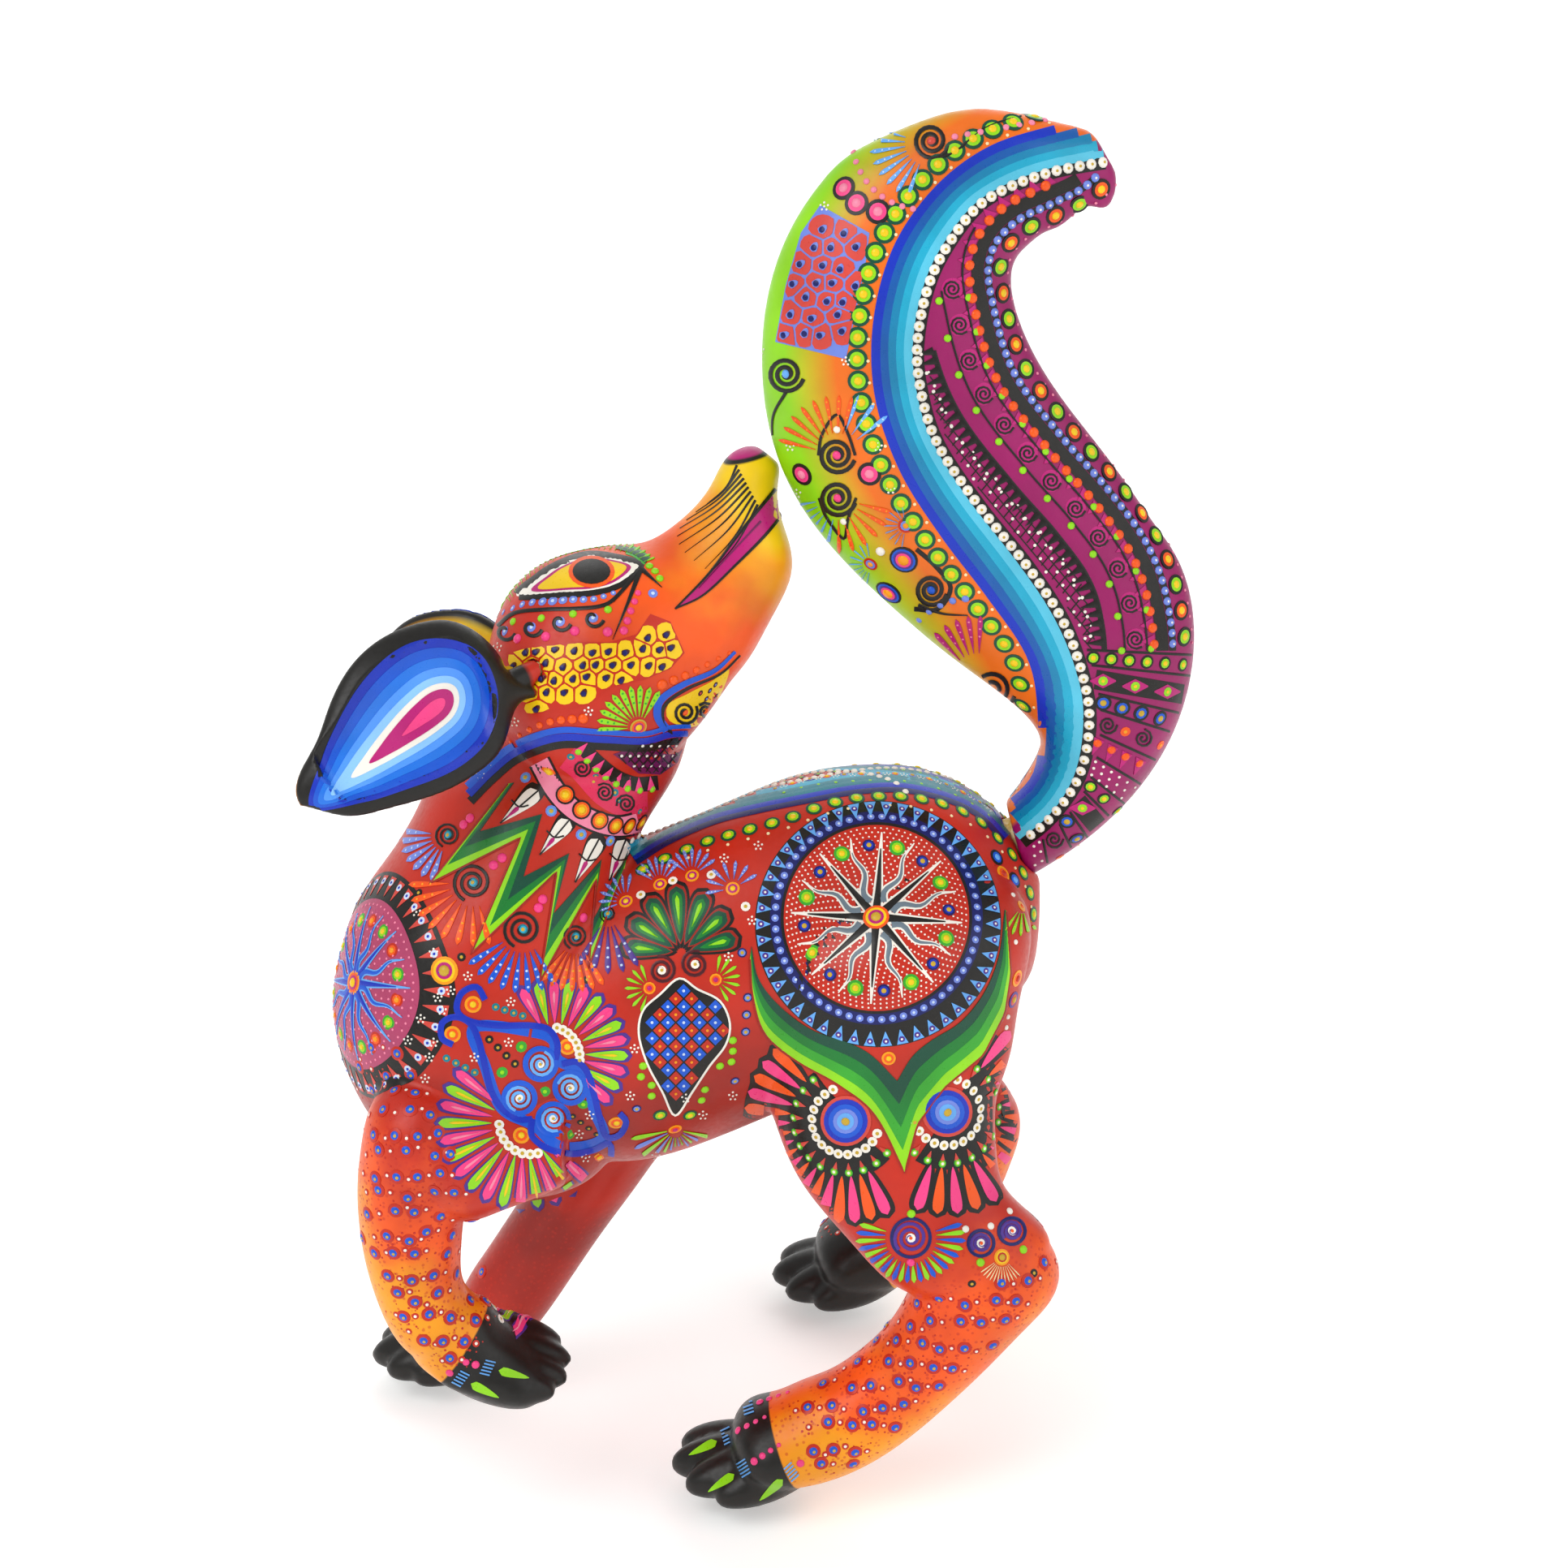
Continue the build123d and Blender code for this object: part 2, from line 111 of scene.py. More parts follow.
# ------------------------------------------------------------------ node materials
class Nodes:
    """A short way to write a node tree."""

    def __init__(self, name):
        self.material = bpy.data.materials.new(name)
        self.material.use_nodes = True
        self.tree = self.material.node_tree
        self.shader = self.tree.nodes["Principled BSDF"]

    def add(self, kind, **settings):
        node = self.tree.nodes.new(kind)
        for key, value in settings.items():
            setattr(node, key, value)
        return node

    def link(self, source, target):
        self.tree.links.new(source, target)

    def object_place(self):
        return self.add("ShaderNodeTexCoord").outputs["Object"]

    def noise(self, place, scale, detail=3.0):
        node = self.add("ShaderNodeTexNoise")
        node.inputs["Scale"].default_value = scale
        node.inputs["Detail"].default_value = detail
        self.link(place, node.inputs["Vector"])
        return node.outputs["Fac"]

    def ramp(self, factor, stops):
        """A colour ramp; stops are (position, colour name) pairs."""
        node = self.add("ShaderNodeValToRGB")
        node.color_ramp.interpolation = "EASE"
        elements = node.color_ramp.elements
        while len(elements) < len(stops):
            elements.new(0.5)
        for element, (position, name) in zip(elements, stops):
            element.position = position
            element.color = colour(name)
        self.link(factor, node.inputs["Fac"])
        return node.outputs["Color"]

    def span(self, factor, low, high, to_low=0.0, to_high=1.0):
        """A value moved from one range into another and held at its ends."""
        node = self.add("ShaderNodeMapRange")
        for key, value in (("From Min", low), ("From Max", high), ("To Min", to_low), ("To Max", to_high)):
            node.inputs[key].default_value = value
        self.link(factor, node.inputs["Value"])
        return node.outputs["Result"]

    def along(self, place, direction):
        """How far a place is along a direction from the origin, in metres."""
        node = self.add("ShaderNodeVectorMath", operation="DOT_PRODUCT")
        node.inputs[1].default_value = direction
        self.link(place, node.inputs[0])
        return node.outputs["Value"]

    def mix(self, factor, first, second):
        node = self.add("ShaderNodeMix", data_type="RGBA")
        for value, key in ((factor, 0), (first, 6), (second, 7)):
            if isinstance(value, str):
                node.inputs[key].default_value = colour(value)
            elif isinstance(value, (int, float)):
                node.inputs[key].default_value = value
            else:
                self.link(value, node.inputs[key])
        return node.outputs[2]

    def maths(self, operation, first, second):
        node = self.add("ShaderNodeMath", operation=operation)
        for index, value in enumerate((first, second)):
            if isinstance(value, (int, float)):
                node.inputs[index].default_value = value
            else:
                self.link(value, node.inputs[index])
        return node.outputs["Value"]

    def bump(self, height, strength, distance):
        node = self.add("ShaderNodeBump")
        node.inputs["Strength"].default_value = strength
        node.inputs["Distance"].default_value = distance
        self.link(height, node.inputs["Height"])
        self.link(node.outputs["Normal"], self.shader.inputs["Normal"])


def finish_paint(nodes, place, base, gloss=0.36, strength=0.25):
    """Satin acrylic over carved wood: uneven pigment, brush drag and shallow tool marks."""
    cloud = nodes.noise(place, 60.0)
    tinted = nodes.mix(nodes.span(cloud, 0.35, 0.7, 0.0, 0.22), base, "black")
    nodes.link(tinted, nodes.shader.inputs["Base Color"])
    fine = nodes.noise(place, 900.0, 5.0)
    rough = nodes.span(fine, 0.3, 0.7, gloss - 0.05, gloss + 0.1)
    nodes.link(rough, nodes.shader.inputs["Roughness"])
    nodes.shader.inputs["Coat Weight"].default_value = 0.06
    nodes.shader.inputs["Specular IOR Level"].default_value = 0.32
    nodes.shader.inputs["Coat Roughness"].default_value = 0.2
    coarse = nodes.noise(place, 130.0)
    nodes.bump(nodes.maths("ADD", nodes.maths("MULTIPLY", fine, 0.35), coarse), strength, 0.0004)
    return nodes.material


def acrylic(name):
    """The material of one colour of raised paint, made once."""
    label = "acrylic_" + name
    if label in bpy.data.materials:
        return bpy.data.materials[label]
    nodes = Nodes(label)
    return finish_paint(nodes, nodes.object_place(), name, 0.3, 0.12)


# ------------------------------------------------------------------ skins over the solids
def new_object(label, data):
    """An object of the scene that holds this data."""
    made = bpy.data.objects.new(label, data)
    bpy.context.scene.collection.objects.link(made)
    return made


def mesh_data(label, mesh):
    """The edited mesh as mesh data; the edited one is freed."""
    data = bpy.data.meshes.new(label)
    mesh.to_mesh(data)
    mesh.free()
    return data


def cad_copy(label, names, grow=0.0):
    """A new object with these solids' surfaces, each pushed out along its normals."""
    mesh = bmesh.new()
    for name in names:
        mesh.from_mesh(frame["nodes"][name].data)
    bmesh.ops.remove_doubles(mesh, verts=mesh.verts, dist=1e-6)
    mesh.normal_update()
    places = [vertex.co + vertex.normal * grow for vertex in mesh.verts]
    for vertex, place in zip(mesh.verts, places):
        vertex.co = place
    return new_object(label, mesh_data(label, mesh))


def settle(piece):
    """Applies the piece's modifiers."""
    graph = bpy.context.evaluated_depsgraph_get()
    data = bpy.data.meshes.new_from_object(piece.evaluated_get(graph))
    piece.modifiers.clear()
    piece.data = data
    return piece


def remeshed(piece, voxel, rounds, grow=0.0):
    """The piece as one closed surface, softened by a few rounds of smoothing."""
    remesh = piece.modifiers.new("skin", "REMESH")
    remesh.mode = "VOXEL"
    remesh.voxel_size = voxel
    remesh.use_smooth_shade = True
    if rounds:
        smooth = piece.modifiers.new("soften", "SMOOTH")
        smooth.factor = 0.5
        smooth.iterations = rounds
    if grow:
        swell = piece.modifiers.new("swell", "DISPLACE")
        swell.mid_level = 0.0
        swell.strength = grow
    return settle(piece)


def combine(piece, other, operation):
    """The piece with another solid taken away or kept, as a closed surface."""
    step = piece.modifiers.new("cut", "BOOLEAN")
    step.operation = operation
    step.solver = "MANIFOLD"
    step.object = other
    return settle(piece)


def duplicate(piece, label):
    return new_object(label, piece.data.copy())


def discard(piece):
    bpy.data.objects.remove(piece)


def surface_of(piece):
    mesh = bmesh.new()
    mesh.from_mesh(piece.data)
    tree = BVHTree.FromBMesh(mesh)
    mesh.free()
    return tree


CARVING_CREASE = math.radians(50)      # edges sharper than this stay sharp
PAINT_CREASE = math.radians(60)


def dress(piece, body, material, nodes=()):
    """Gives a piece its body and finish, and hides the solids it stands for."""
    piece.data.shade_smooth()
    piece.data.set_sharp_from_angle(angle=CARVING_CREASE)
    piece.data.materials.clear()
    piece.data.materials.append(material)
    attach(piece, body)
    if nodes:
        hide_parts(*nodes)
    return piece


SKIN_VOXEL = 0.9 * MM
EAR_VOXEL = 0.5 * MM
HEAD_CLEARANCE = 0.45 * MM       # room between the head and an ear
SKIN_ROUNDS = 6                  # of smoothing
TAIL_ROUNDS = 4
EAR_ROUNDS = 3
CUTTER_GROWTH = 1.2 * MM
LIMBS = ["front_left_leg", "front_right_leg", "rear_left_leg", "rear_right_leg"]

whole_skin = remeshed(cad_copy("whole_skin", ["torso", "head"] + LIMBS), SKIN_VOXEL, SKIN_ROUNDS)
body_surface = surface_of(whole_skin)

skins = {}
for name in ["head"] + LIMBS:
    cutter = remeshed(cad_copy("cutter", [name]), SKIN_VOXEL, 0, CUTTER_GROWTH)
    skins[name] = combine(duplicate(whole_skin, name + "_carving"), cutter, "INTERSECT")
    combine(whole_skin, cutter, "DIFFERENCE")
    discard(cutter)
whole_skin.name = "torso_carving"
skins["torso"] = whole_skin

tail_skin = remeshed(cad_copy("tail_carving", ["tail"]), SKIN_VOXEL, TAIL_ROUNDS)
tail_surface = surface_of(tail_skin)
EAR_ROOT_REACH = (5.0 * MM, 15.5 * MM)     # from the inner end of the ear's peg
EAR_ROOT_RADIUS = 2.7 * MM
EAR_ROOT_SHOWS = 9.0 * MM                  # the root is red up to here
EAR_FRONT_DEPTH = 0.8 * MM                 # how far behind its middle the dish is still black
EAR_EDGE_SOFTNESS = 0.6 * MM               # between two ground colours of an ear


def peg_line(side):
    """The way an ear pulls out, a middle place of its peg, and how far from it the peg's inner end is."""
    pull = next(Vector(joint["axis"]) for joint in frame["joints"] if joint["child"] == side)
    peg = frame["nodes"][side + "_peg"]
    places = [peg.matrix_world @ vertex.co for vertex in peg.data.vertices]
    centre = sum(places, Vector()) / len(places)
    return pull, centre, min((place - centre).dot(pull) for place in places)


def add_rod(mesh, side, reach, radius, segments):
    """Adds a round rod along the line of an ear's peg; reach is from the peg's inner end."""
    pull, centre, inner_end = peg_line(side)
    first, last = (centre + pull * (inner_end + distance) for distance in reach)
    turn = pull.to_track_quat("Z", "Y").to_matrix().to_4x4()
    bmesh.ops.create_cone(mesh, cap_ends=True, segments=segments, radius1=radius, radius2=radius,
                          depth=(last - first).length, matrix=Matrix.Translation((first + last) / 2) @ turn)


def with_root(ear, side):
    """The ear with a round root that closes the room round its peg."""
    mesh = bmesh.new()
    mesh.from_mesh(ear.data)
    add_rod(mesh, side, EAR_ROOT_REACH, EAR_ROOT_RADIUS, 32)
    mesh.to_mesh(ear.data)
    mesh.free()
    return ear


PEG_RADIUS = 1.98 * MM
PEG_LENGTH = 17.0 * MM
PEG_CHAMFER = 0.5 * MM


def turned_peg(side):
    """The ear's round peg with chamfered ends, which stops short of the dish."""
    mesh = bmesh.new()
    add_rod(mesh, side, (0.0, PEG_LENGTH), PEG_RADIUS, 28)
    ends = [edge for edge in mesh.edges if all(len(vertex.link_edges) == 3 for vertex in edge.verts)
            and any(len(face.verts) > 4 for face in edge.link_faces)]
    bmesh.ops.bevel(mesh, geom=ends, offset=PEG_CHAMFER, segments=2, affect="EDGES", profile=0.5)
    label = side + "_peg_turned"
    return new_object(label, mesh_data(label, mesh))


head_room = remeshed(cad_copy("head_room", ["head"]), SKIN_VOXEL, 0, HEAD_CLEARANCE)
ear_skins = {}
ear_surfaces = {}
for side in ("right_ear", "left_ear"):
    ear = with_root(cad_copy(side + "_carving", [side]), side)
    ear_skins[side] = combine(remeshed(ear, EAR_VOXEL, EAR_ROUNDS), head_room, "DIFFERENCE")
    ear_surfaces[side] = surface_of(ear_skins[side])
discard(head_room)


# ------------------------------------------------------------------ coats of ground colour
def ground(name, direction, stops, cloud=0.012):
    """A ground colour that changes along a direction; stops are (metres, colour name) pairs."""
    nodes = Nodes(name)
    place = nodes.object_place()
    way = nodes.along(place, Vector(direction).normalized())
    uneven = nodes.span(nodes.noise(place, 45.0), 0.3, 0.7, -cloud, cloud)
    first, last = stops[0][0], stops[-1][0]
    factor = nodes.span(nodes.maths("ADD", way, uneven), first, last)
    shares = [((at - first) / (last - first), tint) for at, tint in stops]
    return nodes, place, nodes.ramp(factor, shares)


def speckled(nodes, place, base, tint, scale=700.0, cover=0.56):
    """Fine dots of one colour stippled over the base."""
    cells = nodes.add("ShaderNodeTexVoronoi")
    cells.inputs["Scale"].default_value = scale
    nodes.link(place, cells.inputs["Vector"])
    spot = nodes.span(cells.outputs["Distance"], 0.2, 0.34, cover, 0.0)
    return nodes.mix(spot, base, tint)


def beyond(nodes, place, point, direction, softness=0.0002):
    """1 past a plane through the point, 0 before it."""
    normal = Vector(direction).normalized()
    level = Vector(point).dot(normal)
    return nodes.span(nodes.along(place, normal), level - softness, level + softness)


def leg_material(name, direction, stops, paw_point, paw_direction):
    """A stippled leg with a black paw past a slanting plane."""
    nodes, place, base = ground(name, direction, stops)
    base = speckled(nodes, place, base, "red")
    paw = beyond(nodes, place, paw_point, paw_direction)
    return finish_paint(nodes, place, nodes.mix(paw, base, "black"))


NOSE_EDGE = (0.0, 0.0, 0.2432)
NOSE_WAY = (-0.2, 0.0, 0.98)
NOSE_LINE = 0.0009               # width of the dark line below the nose


def head_material():
    """Red at the cheek, orange along the snout, yellow at its end and a magenta nose."""
    stops = [(0.135, "red"), (0.16, "orange"), (0.174, "amber"), (0.183, "yellow")]
    nodes, place, base = ground("painted_head", (0.62, 0.0, 0.78), stops, 0.006)
    base = nodes.mix(beyond(nodes, place, NOSE_EDGE, NOSE_WAY), base, "black")
    nose = Vector(NOSE_EDGE) + Vector(NOSE_WAY) * NOSE_LINE
    return finish_paint(nodes, place, nodes.mix(beyond(nodes, place, nose, NOSE_WAY), base, "magenta"))


def torso_material():
    nodes, place, base = ground("painted_torso", (0, 0, 1),
                                [(0.07, "red"), (0.10, "deep_red"), (0.13, "red")])
    return finish_paint(nodes, place, base)


def tail_material():
    """Lime that turns orange toward the blue band on its one side, and wine on the other."""
    nodes, place, base = ground("painted_tail", (1.0, 0, 0.35),
                                [(0.09, "lime"), (0.16, "lime"), (0.19, "amber")])
    side = nodes.add("ShaderNodeAttribute", attribute_name="band_side").outputs["Fac"]
    base = nodes.mix(nodes.span(side, -0.026, -0.014, 0.0, 0.9), base, "orange")
    return finish_paint(nodes, place, nodes.mix(nodes.span(side, -0.0005, 0.0005), base, "wine"))


def ear_material(name, middle, outward, root, inward):
    """Black in front, red at the root, amber turning to lime behind."""
    nodes, place, back = ground(name, (0.3, 0, 1), [(0.15, "amber"), (0.22, "lime")])
    front = beyond(nodes, place, middle, outward, EAR_EDGE_SOFTNESS)
    stub = beyond(nodes, place, root, inward, EAR_EDGE_SOFTNESS)
    return finish_paint(nodes, place, nodes.mix(stub, nodes.mix(front, back, "black"), "red"))


def bare_wood():
    """Pale copal wood: long streaks along the grain and a dull surface."""
    nodes = Nodes("bare_wood")
    place = nodes.object_place()
    stretch = nodes.add("ShaderNodeMapping")
    stretch.inputs["Scale"].default_value = (1.0, 1.0, 0.12)
    nodes.link(place, stretch.inputs["Vector"])
    grain = nodes.noise(stretch.outputs["Vector"], 700.0, 6.0)
    nodes.link(nodes.ramp(grain, [(0.3, "gold"), (0.7, "cream")]), nodes.shader.inputs["Base Color"])
    nodes.link(nodes.span(grain, 0.3, 0.7, 0.55, 0.75), nodes.shader.inputs["Roughness"])
    nodes.bump(grain, 0.3, 0.0003)
    return nodes.material


# ------------------------------------------------------------------ drawing on the surfaces
LOOK_DOWN = math.radians(19)
MIDDLE = Vector((0.006, -0.0077, 0.165))
EYE_DISTANCE = 0.7138
LENS = 70
SENSOR_WIDTH = 36
CAST_FROM = 9 * MM               # how far in front of a flat sheet its rays start
CAST_REACH = 30 * MM


class Sheet:
    """A drawing sheet in front of a surface; its places are (across, up) in millimetres."""

    def __init__(self, middle, across, up, out, eye=None):
        self.middle, self.across, self.up, self.out, self.eye = middle, across, up, out, eye

    def find(self, surface, spot):
        """Where a place on the sheet lies on the surface, and the surface's normal there."""
        point = self.middle + self.across * (spot[0] * MM) + self.up * (spot[1] * MM)
        if self.eye:
            hit = surface.ray_cast(self.eye, (point - self.eye).normalized())
        else:
            hit = surface.ray_cast(point + self.out * CAST_FROM, -self.out, CAST_REACH)
        return (hit[0], hit[1]) if hit[0] else None


def side_sheet(sign):
    """The figure seen from one side, 19 degrees from above; -1 is the far side, as in a mirror."""
    out = Vector((0, -sign * math.cos(LOOK_DOWN), math.sin(LOOK_DOWN)))
    up = Vector((0, sign * math.sin(LOOK_DOWN), math.cos(LOOK_DOWN)))
    return Sheet(MIDDLE, Vector((1, 0, 0)), up, out, MIDDLE + out * EYE_DISTANCE)


class Paint:
    """The raised paint of one region: closed shapes gathered into one piece, a material to a colour."""

    def __init__(self, name, body, slot):
        self.name, self.body, self.slot = name, body, slot
        self.points, self.faces, self.tints, self.used = [], [], [], []

    def tint(self, name):
        if name not in self.used:
            self.used.append(name)
        return self.used.index(name)

    def shell(self, points, faces, name):
        start = len(self.points)
        self.points += points
        self.faces += [tuple(start + i for i in face) for face in faces]
        self.tints += [self.tint(name)] * len(faces)

    def make(self):
        data = bpy.data.meshes.new(self.name)
        data.from_pydata([tuple(p) for p in self.points], [], self.faces)
        for name in self.used:
            data.materials.append(acrylic(name))
        data.polygons.foreach_set("material_index", self.tints)
        mesh = bmesh.new()
        mesh.from_mesh(data)
        bmesh.ops.recalc_face_normals(mesh, faces=mesh.faces)
        mesh.to_mesh(data)
        mesh.free()
        data.shade_smooth()
        data.set_sharp_from_angle(angle=PAINT_CREASE)
        made = new_object(self.name, data)
        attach(made, self.body)
        return made


def toward(start, end, share):
    """The place that is a share of the way from one place to another."""
    return start[0] + (end[0] - start[0]) * share, start[1] + (end[1] - start[1]) * share


def smooth_line(points, step, closed=False):
    """Points along a Catmull-Rom curve through these points, about a step apart."""
    count = len(points)
    spans = count if closed else count - 1
    line = []
    for i in range(spans):
        if closed:
            a, b, c, d = (points[(i + k) % count] for k in (-1, 0, 1, 2))
        else:
            b, c = points[i], points[i + 1]
            a = points[i - 1] if i else (2 * b[0] - c[0], 2 * b[1] - c[1])
            d = points[i + 2] if i + 2 < count else (2 * c[0] - b[0], 2 * c[1] - b[1])
        pieces = max(1, round(math.dist(b, c) / step))
        for k in range(pieces):
            t = k / pieces
            line.append(tuple(
                0.5 * (2 * b[j] + (c[j] - a[j]) * t + (2 * a[j] - 5 * b[j] + 4 * c[j] - d[j]) * t * t
                       + (3 * b[j] - a[j] - 3 * c[j] + d[j]) * t ** 3)
                for j in (0, 1)))
    return line if closed else line + [tuple(points[-1])]


def straight_line(points, step, closed=False):
    """Points along straight runs between these points, about a step apart."""
    ends = points[1:] + points[:1] if closed else points[1:]
    line = []
    for start, end in zip(points, ends):
        pieces = max(1, round(math.dist(start, end) / step))
        line += [toward(start, end, k / pieces) for k in range(pieces)]
    return line if closed else line + [tuple(points[-1])]


LIFT = 0.09           # how much higher each layer of paint lies, mm
SUNK = 0.3            # how far a shape reaches under the surface, mm
MOST_STRETCH = 3.5    # shapes stretched more than this at an edge of the view are left out
EDGE_STRETCH = 12.0   # the same for rows that run along such an edge
SLANT_ROOM = 1.3      # a triangle's longest side may be this much longer than its spacing
STEP = 0.9            # between the places along a drawn line, mm
FINE_DOT = 0.5 * MM   # smaller dots have a single ring under their top
BOLD_DOT = 1.6 * MM   # larger dots are rounder
WIDE_STROKE = 2.6     # strokes from this width on are flat and get more columns, mm
FLAT_CROWN = 0.03
ROUND_END = 8         # the power that rounds the wide end of a drop
THINNEST = 0.12       # a tapered stroke never gets narrower than this, mm


class Brush:
    """Paints on one surface through one sheet."""

    def __init__(self, paint, sheet, surface, stretch=MOST_STRETCH):
        self.paint, self.sheet, self.surface, self.stretch = paint, sheet, surface, stretch

    def along_edge(self):
        """The same brush for rows that run where the surface turns away."""
        return Brush(self.paint, self.sheet, self.surface, stretch=EDGE_STRETCH)

    def near(self, spot):
        """A brush on a sheet laid flat against the surface at a place."""
        hit = self.sheet.find(self.surface, spot)
        if not hit:
            return None
        out = hit[1]
        up = (self.sheet.up - out * self.sheet.up.dot(out)).normalized()
        across = up.cross(out)
        if across.dot(self.sheet.across) < 0:
            across = -across
        return Brush(self.paint, Sheet(hit[0], across, up, out), self.surface)

    def place(self, spot):
        return self.sheet.find(self.surface, spot)

    def dot(self, spot, radius, name, layer=2, height=0.45):
        """A domed dot of paint."""
        hit = self.place(spot)
        if not hit:
            return
        point, normal = hit
        radius = radius * MM
        side = normal.orthogonal().normalized()
        other = normal.cross(side)
        count = 6 if radius < FINE_DOT else 10 if radius < BOLD_DOT else 18
        lift = layer * LIFT * MM
        top = lift + radius * height
        rings = [(1.0, -SUNK * MM), (1.0, lift), (0.72, lift + (top - lift) * 0.7)]
        if radius < FINE_DOT:
            rings = rings[:2]
        points = []
        for share, level in rings:
            for k in range(count):
                angle = 2 * math.pi * k / count
                rim = side * math.cos(angle) + other * math.sin(angle)
                points.append(point + rim * (radius * share) + normal * level)
        points.append(point + normal * top)
        faces = [tuple(reversed(range(count)))]
        for ring in range(len(rings) - 1):
            for k in range(count):
                nxt = (k + 1) % count
                faces.append((ring * count + k, ring * count + nxt, (ring + 1) * count + nxt,
                              (ring + 1) * count + k))
        last = (len(rings) - 1) * count
        faces += [(last + k, last + (k + 1) % count, len(points) - 1) for k in range(count)]
        self.paint.shell(points, faces, name)

    def dots(self, spots, *look):
        for spot in spots:
            self.dot(spot, *look)

    def targets(self, spots, *look):
        for spot in spots:
            self.target(spot, *look)

    def target(self, spot, radius, names, layer=1):
        """Flat dots on each other, each smaller and higher, with a domed one on top. Where the top dot is a
        lighter tint of the one below it, as the ice on periwinkle, the yellow on lime, the gold on
        periwinkle, the sky on blue and the rose on pink, that small top dot is a painted highlight: the
        glint on the raised dot.
        """
        last = len(names) - 1
        for index, name in enumerate(names):
            # the last and smallest dot; where its colour is a lighter tint, it is a painted highlight
            share = 1 - 0.6 * index / max(1, last)
            self.dot(spot, radius * share, name, layer + index, 0.35 if index == last else 0.03)

    def stroke(self, line, width, name, layer=2, start=1.0, end=1.0, closed=False, crown=0.12):
        """A band of paint along a line of close points; start and end are shares of the width."""
        count = len(line)
        columns = max(3, 2 * round(width / WIDE_STROKE) + 1)
        rows = []
        run = []
        for i, spot in enumerate(line):
            before = line[i - 1] if (i or closed) else spot
            after = line[(i + 1) % count] if (i + 1 < count or closed) else spot
            along = (after[0] - before[0], after[1] - before[1])
            length = math.hypot(*along) or 1.0
            across = (-along[1] / length, along[0] / length)
            share = i / max(1, count - 1)
            if start == "drop":
                taper = share ** end * math.sqrt(1 - share ** ROUND_END)
            else:
                taper = start + (end - start) * share
            half = max(width * taper, THINNEST) / 2
            hits = []
            for k in range(columns):
                reach = half * (1 - 2 * k / (columns - 1))
                hits.append(self.place((spot[0] + across[0] * reach, spot[1] + across[1] * reach)))
            spread = None not in hits and (hits[0][0] - hits[-1][0]).length
            jump = run and spread and (hits[0][0] - run[-1][0][0]).length
            limit = self.stretch * MM
            torn = spread is False or spread > limit * 2 * half
            if torn or (jump and jump > limit * max(1.0, self.gap(line, i))):
                if len(run) > 1:
                    rows.append(run)
                run = [] if torn else [hits]
            else:
                run.append(hits)
        whole = closed and not rows and len(run) == count
        if len(run) > 1:
            rows.append(run)
        for run in rows:
            self.band(run, columns, layer, crown if width < WIDE_STROKE else FLAT_CROWN, name, whole)

    @staticmethod
    def gap(line, i):
        return math.dist(line[i], line[i - 1]) if i else 1.0

    def band(self, run, columns, layer, crown, name, closed):
        """The closed shape of one unbroken run of a stroke."""
        lift = layer * LIFT * MM
        points = []
        narrow = columns == 3
        for hits in run:
            for k, (point, normal) in enumerate(hits):
                middle = 1 - abs(2 * k / (columns - 1) - 1)
                points.append(point + normal * (lift + crown * middle * MM))
            under = [hits[1]] if narrow else reversed(hits)
            points += [point - normal * (SUNK * MM) for point, normal in under]
        size = columns + (1 if narrow else columns)
        faces = []
        stations = len(run)
        for i in range(stations if closed else stations - 1):
            here, there = i * size, (i + 1) % stations * size
            for k in range(size):
                nxt = (k + 1) % size
                faces.append((here + k, there + k, there + nxt, here + nxt))
        if not closed:
            faces.append(tuple(range(size)))
            faces.append(tuple(reversed(range((stations - 1) * size, stations * size))))
        self.paint.shell(points, faces, name)

    def line(self, points, width, name, layer=2, start=1.0, end=1.0, closed=False, step=STEP):
        self.stroke(smooth_line(points, step, closed), width, name, layer, start, end, closed)

    def edge(self, points, width, name, layer=2, start=1.0, end=1.0, closed=False, step=STEP):
        self.stroke(straight_line(points, step, closed), width, name, layer, start, end, closed)

    def ring(self, spot, radius, width, name, layer=2):
        count = max(14, round(2 * math.pi * radius / 0.9))
        turns = [2 * math.pi * k / count for k in range(count)]
        circle = [(spot[0] + radius * math.cos(t), spot[1] + radius * math.sin(t)) for t in turns]
        self.stroke(circle, width, name, layer, closed=True)

    def spiral(self, spot, radius, name, width=0.6, turns=2.0, start=0.0, hand=1, layer=2):
        """A line that winds outward from the place to the radius."""
        count = max(16, round(turns * math.pi * radius / 0.7))
        begin = math.radians(start)
        line = []
        for k in range(count + 1):
            share = k / count
            angle = begin + hand * 2 * math.pi * turns * share
            reach = radius * (0.12 + 0.88 * share)
            line.append((spot[0] + reach * math.cos(angle), spot[1] + reach * math.sin(angle)))
        self.stroke(line, width, name, layer)

    def petal(self, base, tip, width, name, layer=2, bias=0.8):
        """A drop-shaped stroke, rounded at the tip and fine at the base."""
        count = max(6, round(math.dist(base, tip) / 0.9))
        line = [toward(base, tip, k / count) for k in range(count + 1)]
        self.stroke(line, width, name, layer, "drop", bias)

    def spoke(self, centre, inner, outer, angle, *look):
        """A petal that points away from a centre."""
        self.petal(polar(centre, inner, angle), polar(centre, outer, angle), *look)

